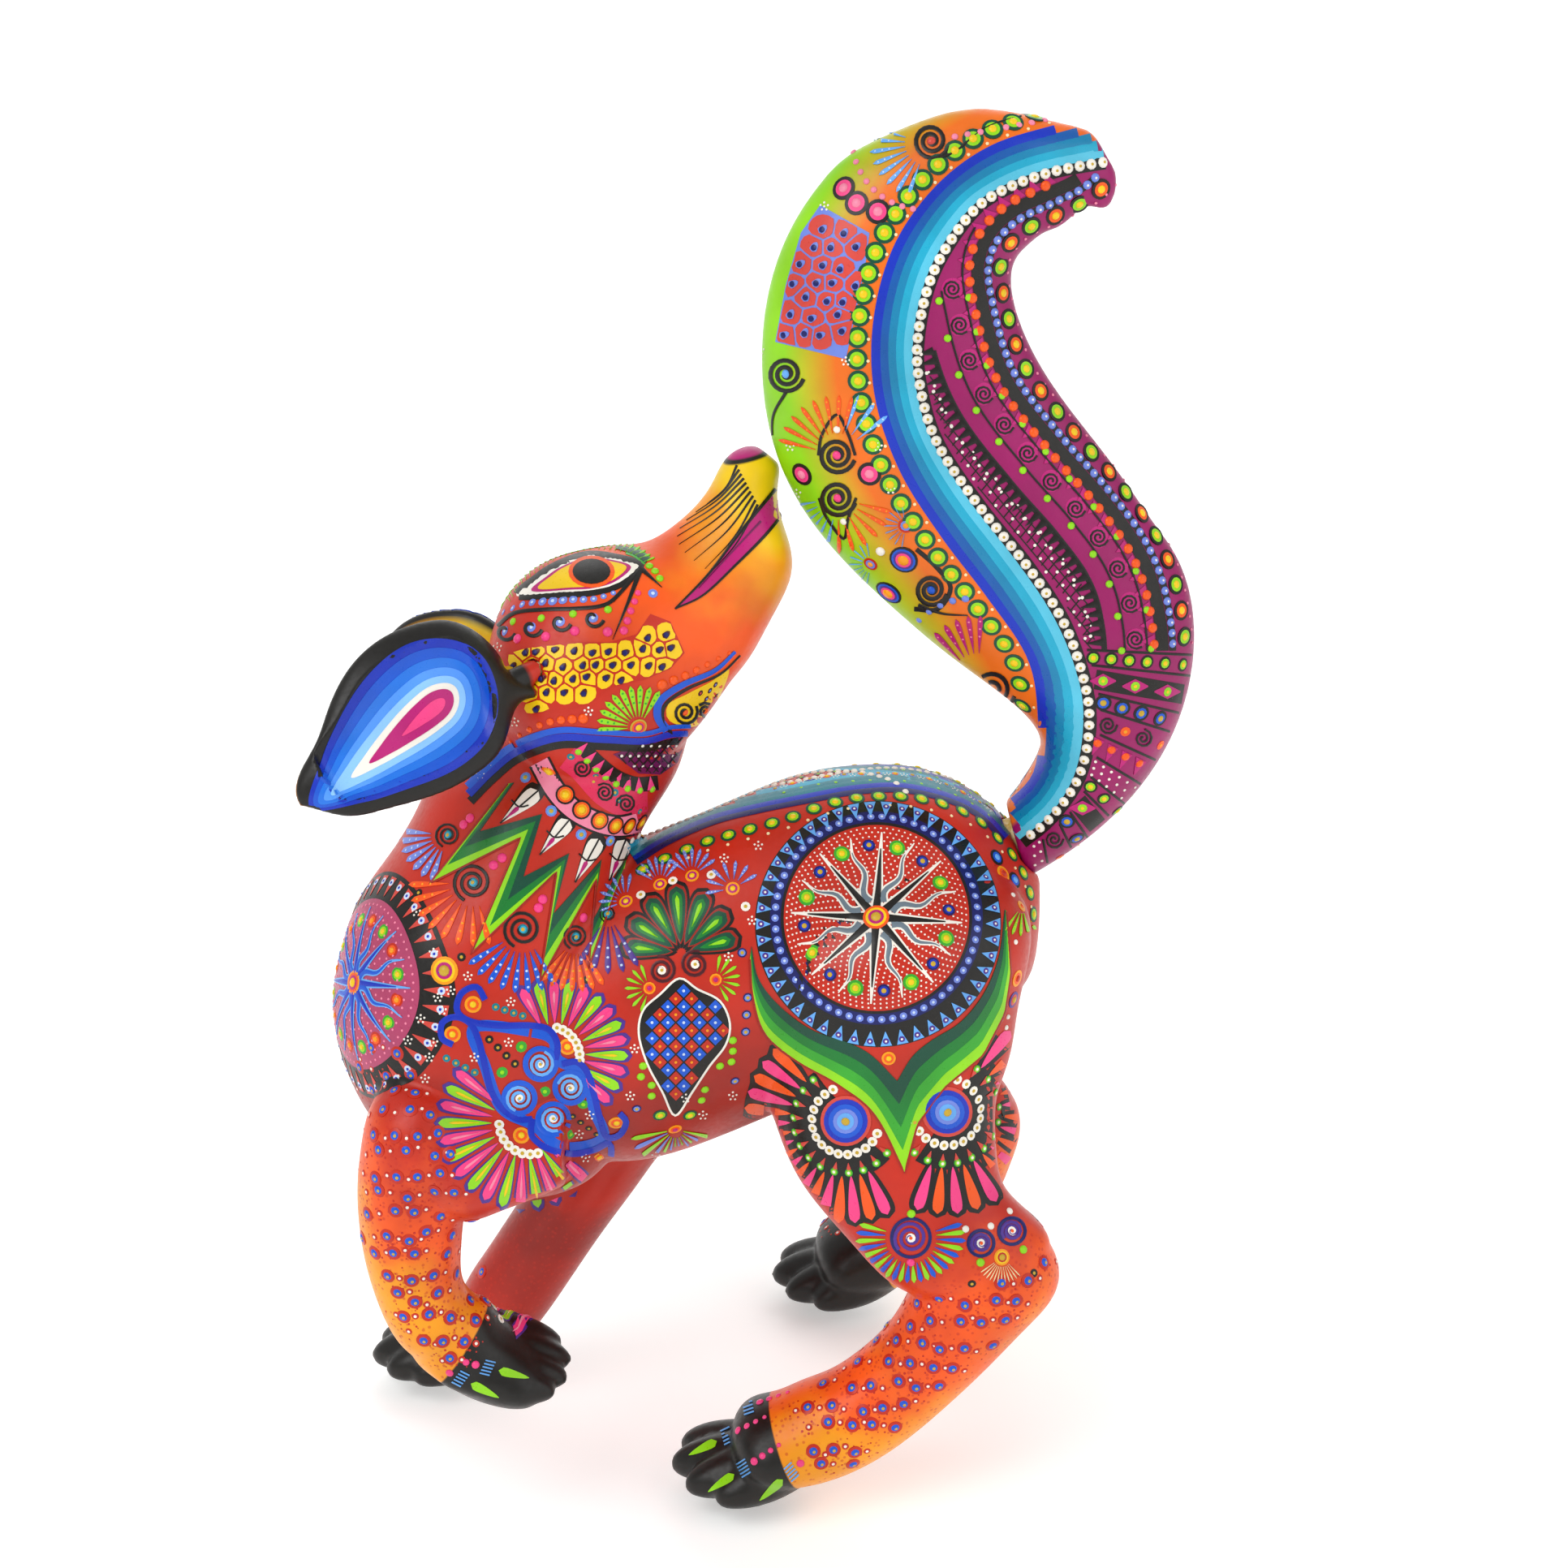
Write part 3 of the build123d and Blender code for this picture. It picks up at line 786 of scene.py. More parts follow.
    def patch(self, outline, name, layer=1, spacing=1.6):
        """A flat coat of paint inside a closed outline."""
        count = len(outline)
        low, high = extent(outline)
        inner = []
        y = low[1] + spacing
        while y < high[1]:
            x = low[0] + spacing
            while x < high[0]:
                if inside((x, y), outline) and min(math.dist((x, y), p) for p in outline) > spacing * 0.5:
                    inner.append((x, y))
                x += spacing
            y += spacing
        spots = [Vector(p) for p in outline + inner]
        edges = [(i, (i + 1) % count) for i in range(count)]
        made = delaunay_2d_cdt(spots, edges, [], 1, 1e-5)
        spots, faces = made[0], made[2]
        hits = [self.place(p) for p in spots]
        kept = []
        for face in faces:
            if any(hits[i] is None for i in face):
                continue
            longest = max((hits[a][0] - hits[b][0]).length for a, b in zip(face, face[1:] + face[:1]))
            if longest < self.stretch * spacing * MM * SLANT_ROOM:
                kept.append(tuple(face))
        self.coat(hits, kept, layer, name)

    def coat(self, hits, faces, layer, name):
        """The closed shape over these triangles: a top, an underside and a wall round every edge."""
        order = {}
        for face in faces:
            for i in face:
                order.setdefault(i, len(order))
        total = len(order)
        lift = layer * LIFT * MM
        points = [hits[i][0] + hits[i][1] * lift for i in order]
        points += [hits[i][0] - hits[i][1] * (SUNK * MM) for i in order]
        shells = []
        rims = {}
        for face in faces:
            top = [order[i] for i in face]
            shells.append(tuple(top))
            shells.append(tuple(total + i for i in reversed(top)))
            for a, b in zip(top, top[1:] + top[:1]):
                rims[(a, b)] = (b, a) not in rims and (a, b)
                if (b, a) in rims:
                    rims[(b, a)] = rims[(a, b)] = False
        for pair in rims.values():
            if pair:
                a, b = pair
                shells.append((b, a, total + a, total + b))
        if shells:
            self.paint.shell(points, shells, name)

    def disc(self, spot, radius, name, layer=1, spacing=1.6):
        count = max(16, round(2 * math.pi * radius / spacing))
        turns = [2 * math.pi * k / count for k in range(count)]
        self.patch([(spot[0] + radius * math.cos(t), spot[1] + radius * math.sin(t)) for t in turns],
                   name, layer, spacing)


def extent(outline):
    """The lowest and the highest of the outline's places, each way."""
    return [[pick(place[j] for place in outline) for j in (0, 1)] for pick in (min, max)]


def inside(spot, outline):
    """True when the place is inside the closed outline."""
    found = False
    for (ax, ay), (bx, by) in zip(outline, outline[1:] + outline[:1]):
        if (ay > spot[1]) != (by > spot[1]) and spot[0] < ax + (spot[1] - ay) / (by - ay) * (bx - ax):
            found = not found
    return found


def spaced(line, gap, closed=False):
    """Places along a line of close points, a gap apart, each with the line's direction."""
    places = []
    left = 0.0
    points = line + line[:1] if closed else line
    for start, end in zip(points, points[1:]):
        length = math.dist(start, end)
        while left <= length and length > 0:
            angle = math.atan2(end[1] - start[1], end[0] - start[0])
            places.append((*toward(start, end, left / length), angle))
            left += gap
        left -= length
    return places


def polar(spot, radius, degrees):
    angle = math.radians(degrees)
    return (spot[0] + radius * math.cos(angle), spot[1] + radius * math.sin(angle))


def spread(first, last, count):
    """Evenly spaced angles from the first to the last."""
    return [first + (last - first) * k / (count - 1) for k in range(count)]


def parallel(line, distance):
    """The line moved sideways, to its left when the distance is positive."""
    moved = []
    for i, spot in enumerate(line):
        before, after = line[max(i - 1, 0)], line[min(i + 1, len(line) - 1)]
        length = math.dist(before, after) or 1.0
        moved.append((spot[0] - (after[1] - before[1]) / length * distance,
                      spot[1] + (after[0] - before[0]) / length * distance))
    return moved


def resampled(line, count):
    """The same line as a number of evenly spaced places."""
    lengths = [0.0]
    for start, end in zip(line, line[1:]):
        lengths.append(lengths[-1] + math.dist(start, end))
    places = []
    for k in range(count):
        wanted = lengths[-1] * k / (count - 1)
        i = min(max(1, next((n for n, at in enumerate(lengths) if at >= wanted), 1)), len(line) - 1)
        share = (wanted - lengths[i - 1]) / ((lengths[i] - lengths[i - 1]) or 1.0)
        places.append(toward(line[i - 1], line[i], share))
    return places


def between(first, second, share):
    """The line part of the way from one line to another with as many places."""
    return [toward(a, b, share) for a, b in zip(first, second)]


near_side, far_side = side_sheet(1), side_sheet(-1)
SIDES = (near_side, far_side)
SIDE_LABELS = ("right", "left")       # as the head has them, which looks back over the body


# ------------------------------------------------------------------ the tail's paint
BAND_LEFT = [(64.5, 154.4), (48, 149), (35.5, 139.5), (26, 126), (21.3, 109.3), (21.3, 92), (26.7, 74.5),
             (36.2, 59), (46.5, 45.5), (56.7, 31), (59.6, 17.3), (58.9, 2.7), (50, -6.7)]
BAND_RIGHT = [(77.6, 145.8), (63.4, 143.3), (51.5, 139), (43.5, 133), (35, 119.4), (31.4, 103.5),
              (32.5, 90.7), (36.5, 79), (46, 65), (58, 50), (66.3, 36.7), (71, 22), (71.6, 11.7), (69, 1),
              (62.4, -8.2), (55.8, -13.6)]
TAIL_EDGE = [(80.2, 142), (73.3, 135.5), (64.5, 131), (57.3, 127.5), (53.3, 122.4), (53.6, 115), (58.3, 99),
             (69, 84.6), (80, 72), (89.3, 59), (94.5, 45), (96, 27), (91, 6.4), (83.6, -5.3), (74, -14.7),
             (57.4, -23.4)]
BAND_PLACES = 90
CELL_CORNERS = 16
CROSS_TOP = 31.0      # below this height the dark side is painted in crosswise bands
CROSS_PLACES = 30

band_left = resampled(smooth_line(BAND_LEFT, 1.0), BAND_PLACES)
band_right = resampled(smooth_line(BAND_RIGHT, 1.0), BAND_PLACES)
band_middle = between(band_left, band_right, 0.5)
tail_edge = smooth_line(TAIL_EDGE, 1.0)


def chart_places(points):
    """Where each point is seen on the drawing sheet of the side that it lies on."""
    places = np.zeros((len(points), 2))
    for sheet, chosen in ((near_side, points[:, 1] < MIDDLE.y), (far_side, points[:, 1] >= MIDDLE.y)):
        eye, middle, out, up = (np.array(v) for v in (sheet.eye, sheet.middle, sheet.out, sheet.up))
        rays = points[chosen] - eye
        reach = ((middle - eye) @ out) / (rays @ out)
        seen = eye + rays * reach[:, None] - middle
        places[chosen] = np.stack([seen[:, 0], seen @ up], 1) / MM
    return places


def side_of_line(places, line):
    """How far each place lies to the left of the line, in metres; negative to its right."""
    best = np.full(len(places), 1e9)
    side = np.zeros(len(places))
    for start, end in zip(line, line[1:]):
        a, d = np.array(start), np.array(end) - np.array(start)
        share = np.clip((places - a) @ d / (d @ d), 0, 1)
        away = places - (a + share[:, None] * d)
        distance = np.linalg.norm(away, axis=1)
        closer = distance < best
        turn = np.sign(d[0] * away[:, 1] - d[1] * away[:, 0])
        best[closer], side[closer] = distance[closer], turn[closer]
    return best * side * MM


def mark_band_side(piece):
    """Stores on each vertex which side of the blue band it lies on."""
    points = np.array([v.co for v in piece.data.vertices])
    values = side_of_line(chart_places(points), band_middle)
    attribute = piece.data.attributes.new("band_side", "FLOAT", "POINT")
    attribute.data.foreach_set("value", values.astype(np.float32))


class Guide:
    """A line that tells on which side of it a place lies, and how far off."""

    def __init__(self, line):
        self.line = line
        self.tree = KDTree(len(line))
        for i, spot in enumerate(line):
            self.tree.insert((spot[0], spot[1], 0.0), i)
        self.tree.balance()

    def left(self, spot):
        """The distance to the left of the line, in millimetres; negative to its right."""
        _, i, distance = self.tree.find((spot[0], spot[1], 0.0))
        before, after = self.line[max(i - 1, 0)], self.line[min(i + 1, len(self.line) - 1)]
        turn = ((after[0] - before[0]) * (spot[1] - self.line[i][1])
                - (after[1] - before[1]) * (spot[0] - self.line[i][0]))
        return math.copysign(distance, turn)


band_guide = Guide(smooth_line(BAND_RIGHT, 0.5))
edge_guide = Guide(smooth_line(TAIL_EDGE, 0.5))


def right_of_band(spot, margin=2.5):
    return band_guide.left(spot) > margin


def flower(brush, spot, size=0.9):
    """Five white points round a sixth."""
    brush.dot(spot, size * 0.3, "white")
    for k in range(5):
        brush.dot(polar(spot, size, 90 + 72 * k), size * 0.3, "white")


def flowers(brush, spots):
    for spot in spots:
        flower(brush, spot)


def fan(brush, centre, inner, outer, first, last, count, name, width, dots=None, layer=2):
    """Petals spread round a centre, each with a row of dots where dots names a colour."""
    for angle in spread(first, last, count):
        brush.spoke(centre, inner, outer, angle, width, name, layer)
        if dots:
            for share in (0.45, 0.65, 0.85):
                reach = inner + (outer - inner) * share
                brush.dot(polar(centre, reach, angle), width * 0.17, dots, layer + 1)


def lengthened(line, distance):
    """The line made longer at its start."""
    reach = math.dist(line[0], line[3])
    way = ((line[0][0] - line[3][0]) / reach, (line[0][1] - line[3][1]) / reach)
    count = round(distance / STEP)
    added = [(line[0][0] + way[0] * STEP * k, line[0][1] + way[1] * STEP * k) for k in range(count, 0, -1)]
    return added + line


def paint_band(brush):
    """Five blues from royal to aqua, and the row of white dots along them."""
    blues = ["royal", "ocean", "lagoon", "cyan", "aqua"]
    for index, name in enumerate(blues):
        share = (index + 0.5) / len(blues) * 0.86
        widths = 0.86 / len(blues) * 13.2
        brush.stroke(lengthened(between(band_left, band_right, share), 9.0), widths * 1.06, name, 1)
    brush.stroke(between(band_left, band_right, 0.98), 3.4, "black", 1)
    for x, y, _ in spaced(between(band_left, band_right, 0.98), 2.75):
        brush.dot((x, y), 1.2, "white", 2, 0.5)
        brush.dot((x, y), 0.35, "gold", 8.2, 0.5)


def paint_lime_row(brush):
    """Lime dots in dark green rings beside the band, with a white point between each pair."""
    row = parallel(band_left, -3.6)
    brush.targets(spaced(row, 5.1), 2.35, ["forest", "lime", "yellow"])
    brush.dots(spaced(parallel(band_left, -1.0)[1:], 5.1), 0.38, "cream", 2)


def cell_outline(spot, others, border, most, gap):
    """The cell round a place, kept clear of its neighbours' cells and of the border."""
    cell = []
    for k in range(CELL_CORNERS):
        way = polar((0, 0), 1, 360 * k / CELL_CORNERS)
        reach = most
        for other in others:
            apart = (other[0] - spot[0], other[1] - spot[1])
            toward = way[0] * apart[0] + way[1] * apart[1]
            if toward > 0:
                reach = min(reach, (apart[0] ** 2 + apart[1] ** 2) / 2 / toward)
        while reach > gap and not inside((spot[0] + way[0] * reach, spot[1] + way[1] * reach), border):
            reach *= 0.93
        reach = max(reach - gap, gap)
        cell.append((spot[0] + way[0] * reach, spot[1] + way[1] * reach))
    return cell


def cell_patch(brush, border, cell_name, line_name, core_names, size, seed, layer=1):
    """A coat divided into uneven cells by fine lines, each cell with a dark core."""
    chance = random.Random(seed)
    brush.patch(straight_line(border, 1.6, closed=True), line_name, layer)
    low, high = extent(border)
    edge = straight_line(border, 1.0, closed=True)
    centres = []
    for row in range(round((high[1] - low[1]) / size / 0.86)):
        for column in range(round((high[0] - low[0]) / size) + 1):
            spot = (low[0] + (column + 0.5 * (row % 2) + chance.uniform(-0.2, 0.2)) * size,
                    low[1] + (0.86 * row + 0.45 + chance.uniform(-0.16, 0.16)) * size)
            if inside(spot, border) and min(math.dist(spot, p) for p in edge) > size * 0.28:
                centres.append(spot)
    for spot in centres:
        others = [other for other in centres if other != spot]
        cell = cell_outline(spot, others, border, size * 0.8, 0.24)
        brush.patch(cell, cell_name, layer + 1, 1.4)
        lean = chance.uniform(20, 70)
        brush.petal(polar(spot, size * 0.27, lean), polar(spot, size * 0.27, lean + 180), size * 0.46,
                    core_names[0], layer + 2, 0.35)
        brush.dot(polar(spot, size * 0.05, lean + 180), size * 0.15, core_names[1], layer + 4.2, 0.1)


CORAL_CELLS = [(8.5, 135.5), (20, 129), (19, 121), (14.5, 99.5), (-2, 103.5), (0.5, 117), (4, 129)]


def paint_lime_side(brush):
    """Spirals, fans, a cell patch and ringed dots on the lime side."""
    cell_patch(brush, CORAL_CELLS, "coral", "periwinkle", ("periwinkle", "navy"), 4.6, 5)
    brush.targets(((14, 139.5), (17, 136), (22, 134), (4.2, 72.5), (20, 72.6)), 2.7,
                  ["black", "pink", "rose"])
    for spot, radius, core in (((34.5, 150.5), 4.3, "coral"), ((0.5, 96), 4.3, "sky"),
                               ((12.4, 77), 4.3, "pink"), ((12.6, 67), 4.3, "pink"),
                               ((49, 22), 5.2, "periwinkle"), ((34.5, 45.5), 3.8, "blue")):
        brush.spiral(spot, radius, "black", 1.0, 2.4, 200)
        brush.dot(spot, 1.0, core, 3)
    brush.line([(34.5, 146.2), (40, 148), (48, 154), (62, 158)], 0.8, "black", 2, 1.0, 0.3)
    brush.line([(0.5, 91.7), (-2.5, 86), (-2.5, 78)], 0.8, "black", 2, 1.0, 0.3)
    brush.line([(8.1, 77), (9, 82), (12.4, 86.5), (15, 82), (16.7, 77)], 0.7, "black")
    brush.line([(8.3, 67), (10, 62.5), (14, 57.5), (15, 62), (16.9, 67)], 0.7, "black")
    brush.dot((12.4, 83), 0.8, "white", 3)
    brush.dot((14, 61.5), 0.8, "white", 3)
    fan(brush, (12.4, 77), 5.2, 14, 75, 165, 8, "orange", 1.3, "amber")
    fan(brush, (12.4, 77), 6, 15, 38, 70, 3, "sky", 1.3, "ice")
    fan(brush, (12.6, 67), 5.2, 13, 190, 258, 6, "sky", 1.3, "ice")
    fan(brush, (12.6, 67), 5.2, 13, 272, 345, 6, "orange", 1.3, "amber")
    fan(brush, (33.5, 150), 5.2, 13.5, 165, 250, 8, "sky", 1.3, "ice")
    fan(brush, (45.5, 24.5), 6.2, 15, 88, 178, 9, "magenta", 1.6, "rose")
    brush.targets(((28, 52.5), (24.5, 44.8), (28.6, 38)), 3.3, ["black", "blue", "violet", "pink", "amber"])
    brush.line([(31, 55), (35.5, 51), (39, 46), (36, 41), (30.5, 41)], 1.1, "black", 1)
    brush.line([(31.5, 42), (37, 40), (43, 39.5)], 0.8, "black", 2, 1.0, 0.3)
    brush.dots(((22.6, 54.5), (19.5, 44), (23.5, 35.5)), 1.1, "white", 3)
    for spot in ((20.3, 51.5), (28.5, 60.5), (23, 39)):
        brush.target(spot, 1.7, ["red", "periwinkle", "amber"])
        fan(brush, spot, 2, 5, 100, 260, 9, "sky", 0.35)
    for k in range(9):
        brush.dot(polar((44, 26), 17.5, 95 + 10 * k), 0.9 - 0.05 * k, "periwinkle", 2)
        brush.dot(polar((32.5, 151), 16.5, 190 + 9 * k), 0.7, "rose", 2)
        brush.dot((40 + 3 * k, 151.5 + 0.55 * k), 0.75, "rose", 2)
    flowers(brush, ((9.5, 135.2), (-5.5, 101.5), (14.5, 99), (1.5, 79), (3, 68), (22, 79), (25, 69),
                    (54, 17)))
    for k in range(6):
        brush.dot((-4.5 - 0.2 * k, 88 - 3 * k), 0.75, "magenta", 2)


def triangle_row(brush, row, gap, depth, width, name, layer=2, dot=None):
    """Triangles standing on a line, on its left when the depth is positive."""
    for x, y, angle in spaced(row, gap):
        along = (math.cos(angle), math.sin(angle))
        up = (-along[1] * depth, along[0] * depth)
        tip = (x + up[0], y + up[1])
        brush.stroke(straight_line([(x, y), tip], STEP), width, name, layer, 1.0, 0.05)
        if dot:
            brush.dot((x + up[0] * 0.25, y + up[1] * 0.25), dot[0], dot[1], layer + 1)


def clipped(row, keep):
    """The places of a row that the test keeps."""
    return [spot for spot in row if keep(spot)]


def lattice(brush, keep, low, high, gap, slant, line_name, dot_name, layer=1):
    """Two sets of crossing lines with a point in each opening."""
    for turn in (slant, -slant):
        c, s = math.cos(math.radians(turn)), math.sin(math.radians(turn))
        reach = math.dist(low, high)
        middle = ((low[0] + high[0]) / 2, (low[1] + high[1]) / 2)
        for k in range(round(-reach / 2 / gap), round(reach / 2 / gap) + 1):
            start = (middle[0] - s * k * gap, middle[1] + c * k * gap)
            line = [(start[0] + c * t, start[1] + s * t) for t in np.arange(-reach / 2, reach / 2, 0.9)]
            run = []
            for spot in line + [None]:
                if spot and keep(spot):
                    run.append(spot)
                else:
                    if len(run) > 2:
                        brush.stroke(run, 0.3, line_name, layer, crown=0.05)
                    run = []
    wide, tall = gap / math.sin(math.radians(slant)), gap / math.cos(math.radians(slant))
    rows = round((high[1] - low[1]) / tall)
    for row in range(rows):
        for column in range(round((high[0] - low[0]) / wide)):
            spot = (low[0] + (column + 0.5 * (row % 2)) * wide, low[1] + row * tall)
            if keep(spot):
                brush.dot(spot, 0.38, dot_name, layer + 1)


def paint_dark_rows(brush):
    """The rows that follow the tail's outer edge on the dark side."""
    def above(spot):
        return spot[1] > CROSS_TOP

    def open_side(spot):
        return above(spot) and right_of_band(spot)

    outer = clipped(parallel(tail_edge, -2.3), above)
    for index, (x, y, _) in enumerate(spaced(outer, 6.2)):
        brush.target((x, y), 2.3, ["black", ("lime", "orange")[index % 2], "yellow"])
    brush.dots(spaced(clipped(parallel(tail_edge, -0.6), above), 3.1), 0.35, "rose", 2)
    brush.stroke(clipped(parallel(tail_edge, -5.2), open_side), 1.6, "black", 1)
    for x, y, _ in spaced(clipped(parallel(tail_edge, -5.2), open_side), 2.5):
        brush.dot((x, y), 1.0, "periwinkle", 2, 0.5)
        # the small white dot on each periwinkle dot is a painted highlight: the glint on the raised dot
        brush.dot((x, y), 0.3, "white", 7, 0.5)
    teeth = clipped(parallel(tail_edge, -7.6), open_side)
    brush.stroke(teeth, 2.9, "black", 1)
    triangle_row(brush, clipped(parallel(tail_edge, -9.4), open_side), 3.9, -3.0, 3.0, "magenta", 2)
    brush.dots(spaced(clipped(parallel(tail_edge, -9.6), open_side), 3.9), 1.15, "orange", 3, 0.5)
    for offset in (-11.2, -16.4):
        brush.stroke(clipped(parallel(tail_edge, offset), open_side), 0.5, "black", 2)
    spirals = [s for s in spaced(parallel(tail_edge, -13.8), 8.6) if open_side(s[:2])]
    for x, y, angle in spirals:
        turn = math.degrees(angle)
        brush.dot((x, y), 2.5, "magenta", 0, 0.05)
        brush.spiral((x, y), 2.3, "black", 0.5, 2.1, turn)
        for lean in (-1, 1):
            mark = polar((x, y), 4.2, turn + 90 * lean - 35 * lean)
            brush.dot(mark, 0.85, "lime", 3, 0.5)
    feathers = clipped(parallel(tail_edge, -21.2),
                       lambda spot: open_side(spot) and right_of_band(spot, 3.5))
    brush.stroke(feathers, 1.3, "black", 1)
    triangle_row(brush, feathers, 2.3, -4.2, 1.9, "black", 2)
    brush.dots(spaced(parallel(feathers, -3.0), 4.6), 0.42, "white", 3)

    def lens(spot):
        return above(spot) and edge_guide.left(spot) < -23.0 and right_of_band(spot, 2.2)

    lattice(brush, lens, (30, 31), (78, 100), 2.0, 50, "black", "white")


def paint_cross_bands(brush):
    """The bands that cross the dark side of the tail near its root."""
    start = next(i for i, spot in enumerate(band_right) if spot[1] < CROSS_TOP)
    inner = resampled(parallel(band_right[start:], 2.4), CROSS_PLACES)
    edge_start = next(i for i, spot in enumerate(tail_edge) if spot[1] < CROSS_TOP)
    outer = resampled(parallel(tail_edge[edge_start:], -0.8), CROSS_PLACES)

    def cross(share):
        place = share * (CROSS_PLACES - 1)
        i = min(CROSS_PLACES - 2, int(place))
        ends = [toward(row[i], row[i + 1], place - i) for row in (inner, outer)]
        return straight_line(ends, STEP)

    for share in (0.0, 0.07, 0.20, 0.27, 0.38, 0.48, 0.57, 0.64, 0.75, 0.82, 0.92):
        brush.stroke(cross(share), 0.6, "black", 1)
    for share in (0.035, 0.605):
        brush.targets(spaced(cross(share)[1:], 4.2), 1.6, ["black", "lime", "yellow"])
    for share in (0.135, 0.695):
        brush.stroke(cross(share), 4.6, "black", 1)
        for x, y, angle in spaced(cross(share)[2:], 7.6):
            brush.stroke(straight_line([(x - 3, y), (x, y)], STEP), 3.4, "magenta", 2, 0.1, 1.0)
            brush.stroke(straight_line([(x + 3, y), (x, y)], STEP), 3.4, "magenta", 2, 0.1, 1.0)
            brush.target((x, y), 1.1, ["lime", "yellow"], 3)
    for share in (0.235, 0.785):
        brush.targets(spaced(cross(share)[1:], 4.6), 1.9, ["black", "blue", "gold"])
    for share in (0.325, 0.87):
        for index, (x, y, _) in enumerate(spaced(cross(share)[2:], 4.4)):
            if index % 2:
                brush.target((x, y), 1.2, ["orange", "amber"])
            else:
                brush.spiral((x, y), 2.2, "black", 0.5, 2.0, 40 * index)
    triangle_row(brush, cross(0.40), 3.6, -4.0, 2.6, "magenta", 2, (1.0, "orange"))
    for share in (0.50, 0.53, 0.56, 0.94, 0.97):
        brush.dots(spaced(cross(share), 2.2), 0.36, "white", 2)


def paint_tail():
    paint = Paint("tail_paint", "tail", "painted_tail")
    for sheet in SIDES:
        brush = Brush(paint, sheet, tail_surface)
        paint_band(brush.along_edge())
        paint_lime_row(brush)
        paint_lime_side(brush)
        paint_dark_rows(brush)
        paint_cross_bands(brush)
    return paint.make()


# ------------------------------------------------------------------ the ears' paint
EAR_OUTLINE = [(-112, -6), (-110.5, 6.8), (-107.5, 16.3), (-102.8, 25.8), (-97, 32.5), (-89.5, 37),
               (-81, 38.2), (-73.3, 36.3), (-67.6, 31.5), (-64.2, 24), (-63.5, 16.3), (-65.7, 8.7),
               (-70.5, 3), (-77, -0.8), (-86.6, -3.6), (-98, -6)]
EAR_CORE = (-82.0, 17.5)
EAR_LEAN = math.radians(41)      # the way from the tip to the round end
EAR_DROPS = [("royal", 0.83, 0.97), ("blue", 0.74, 0.94), ("cobalt", 0.635, 0.91), ("azure", 0.53, 0.87),
             ("pale_blue", 0.435, 0.82), ("white", 0.35, 0.66), ("magenta", 0.275, 0.52),
             ("pink", 0.157, 0.26)]
EAR_NARROWING = 1.35             # how much faster a smaller drop loses width than length
REAR_RINGS = [("forest", "lime", "yellow"), ("red", "orange", "amber")]


def paint_ear(side, sheet):
    """Teardrops inside each other, from royal blue to pink, drawn out toward the tip."""
    paint = Paint(side + "_paint", side, "painted_ear")
    brush = Brush(paint, sheet, ear_surfaces[side], stretch=6.0)
    along = (math.cos(EAR_LEAN), math.sin(EAR_LEAN))
    across = (-along[1], along[0])
    outline = smooth_line(EAR_OUTLINE, 1.4, closed=True)
    for layer, (name, size, tip) in enumerate(EAR_DROPS):
        drop = []
        for spot in outline:
            x, y = spot[0] - EAR_CORE[0], spot[1] - EAR_CORE[1]
            far = x * along[0] + y * along[1]
            wide = (x * across[0] + y * across[1]) * size ** EAR_NARROWING
            far *= tip if far < 0 else size
            drop.append((EAR_CORE[0] + far * along[0] + wide * across[0],
                         EAR_CORE[1] + far * along[1] + wide * across[1]))
        brush.patch(drop, name, 1.5 + layer, 1.1)
    back = Sheet(sheet.middle, sheet.across, Vector((0, -sheet.up.y, sheet.up.z)),
                 Vector((0, -sheet.out.y, sheet.out.z)),
                 MIDDLE + Vector((0, -sheet.out.y, sheet.out.z)) * EYE_DISTANCE)
    rear = Brush(paint, back, ear_surfaces[side])
    for size in (0.86, 0.62, 0.38):
        ring = shrunk(outline, EAR_CORE, size)
        for index, (x, y, _) in enumerate(spaced(ring, 5.0, closed=True)):
            rear.target((x, y - 2), 1.5, REAR_RINGS[index % 2])
    return paint.make()


# ------------------------------------------------------------------ the head's paint
EYE = (-45, 49.5)
EYE_ALMOND = [(-62.5, 44), (-58, 48.3), (-53.5, 51.2), (-46.3, 53.7), (-39, 53), (-33.5, 51), (-38.3, 46.7),
              (-44.8, 44.8), (-51.5, 44.4)]
BROW = [(-66, 41), (-62.4, 46.7), (-58, 50.6), (-53, 53.6), (-47.8, 55.5), (-41.2, 55.6), (-35.3, 54.4),
        (-32, 52.2)]
MOUTH_UPPER = [(-25.5, 41), (-17.8, 49), (-11.2, 57.7), (-5.4, 65), (-0.5, 71)]
MOUTH_LOWER = [(1.2, 65.3), (-4.4, 58.3), (-11.2, 51.4), (-18.8, 44.3), (-25.5, 41)]
WHISKERS = 10
CHEEK_CELLS = [(-65, 30.7), (-60, 32), (-49, 33.2), (-40.5, 33.2), (-34.6, 35), (-31.3, 39.8),
               (-26.6, 38), (-23.3, 30.7), (-26.6, 27), (-32.5, 24.5), (-41, 22.6), (-45.6, 18.6),
               (-60, 16.2), (-62.5, 19)]
CHIN_BAND = [(-74, -1.5), (-68.5, 4), (-62.4, 8.7), (-53, 11.8), (-42.7, 11.4), (-33, 11), (-27, 12.5),
             (-22, 12.8)]
CHIN_HOOK = [(-27.5, 12.6), (-29.7, 16.1), (-28.8, 19.8), (-23.7, 23.3), (-16.3, 26.6), (-11.5, 31)]
CHIN_YELLOW = [(-26.8, 14.8), (-27.2, 18.6), (-22.9, 21), (-17.1, 24), (-12.9, 26.8), (-15.6, 19.7),
               (-20.7, 13.6)]
HOOK_SPOTS = [(-65.3, 35.8), (-59.1, 36.7), (-52.4, 38), (-44.7, 38.9)]


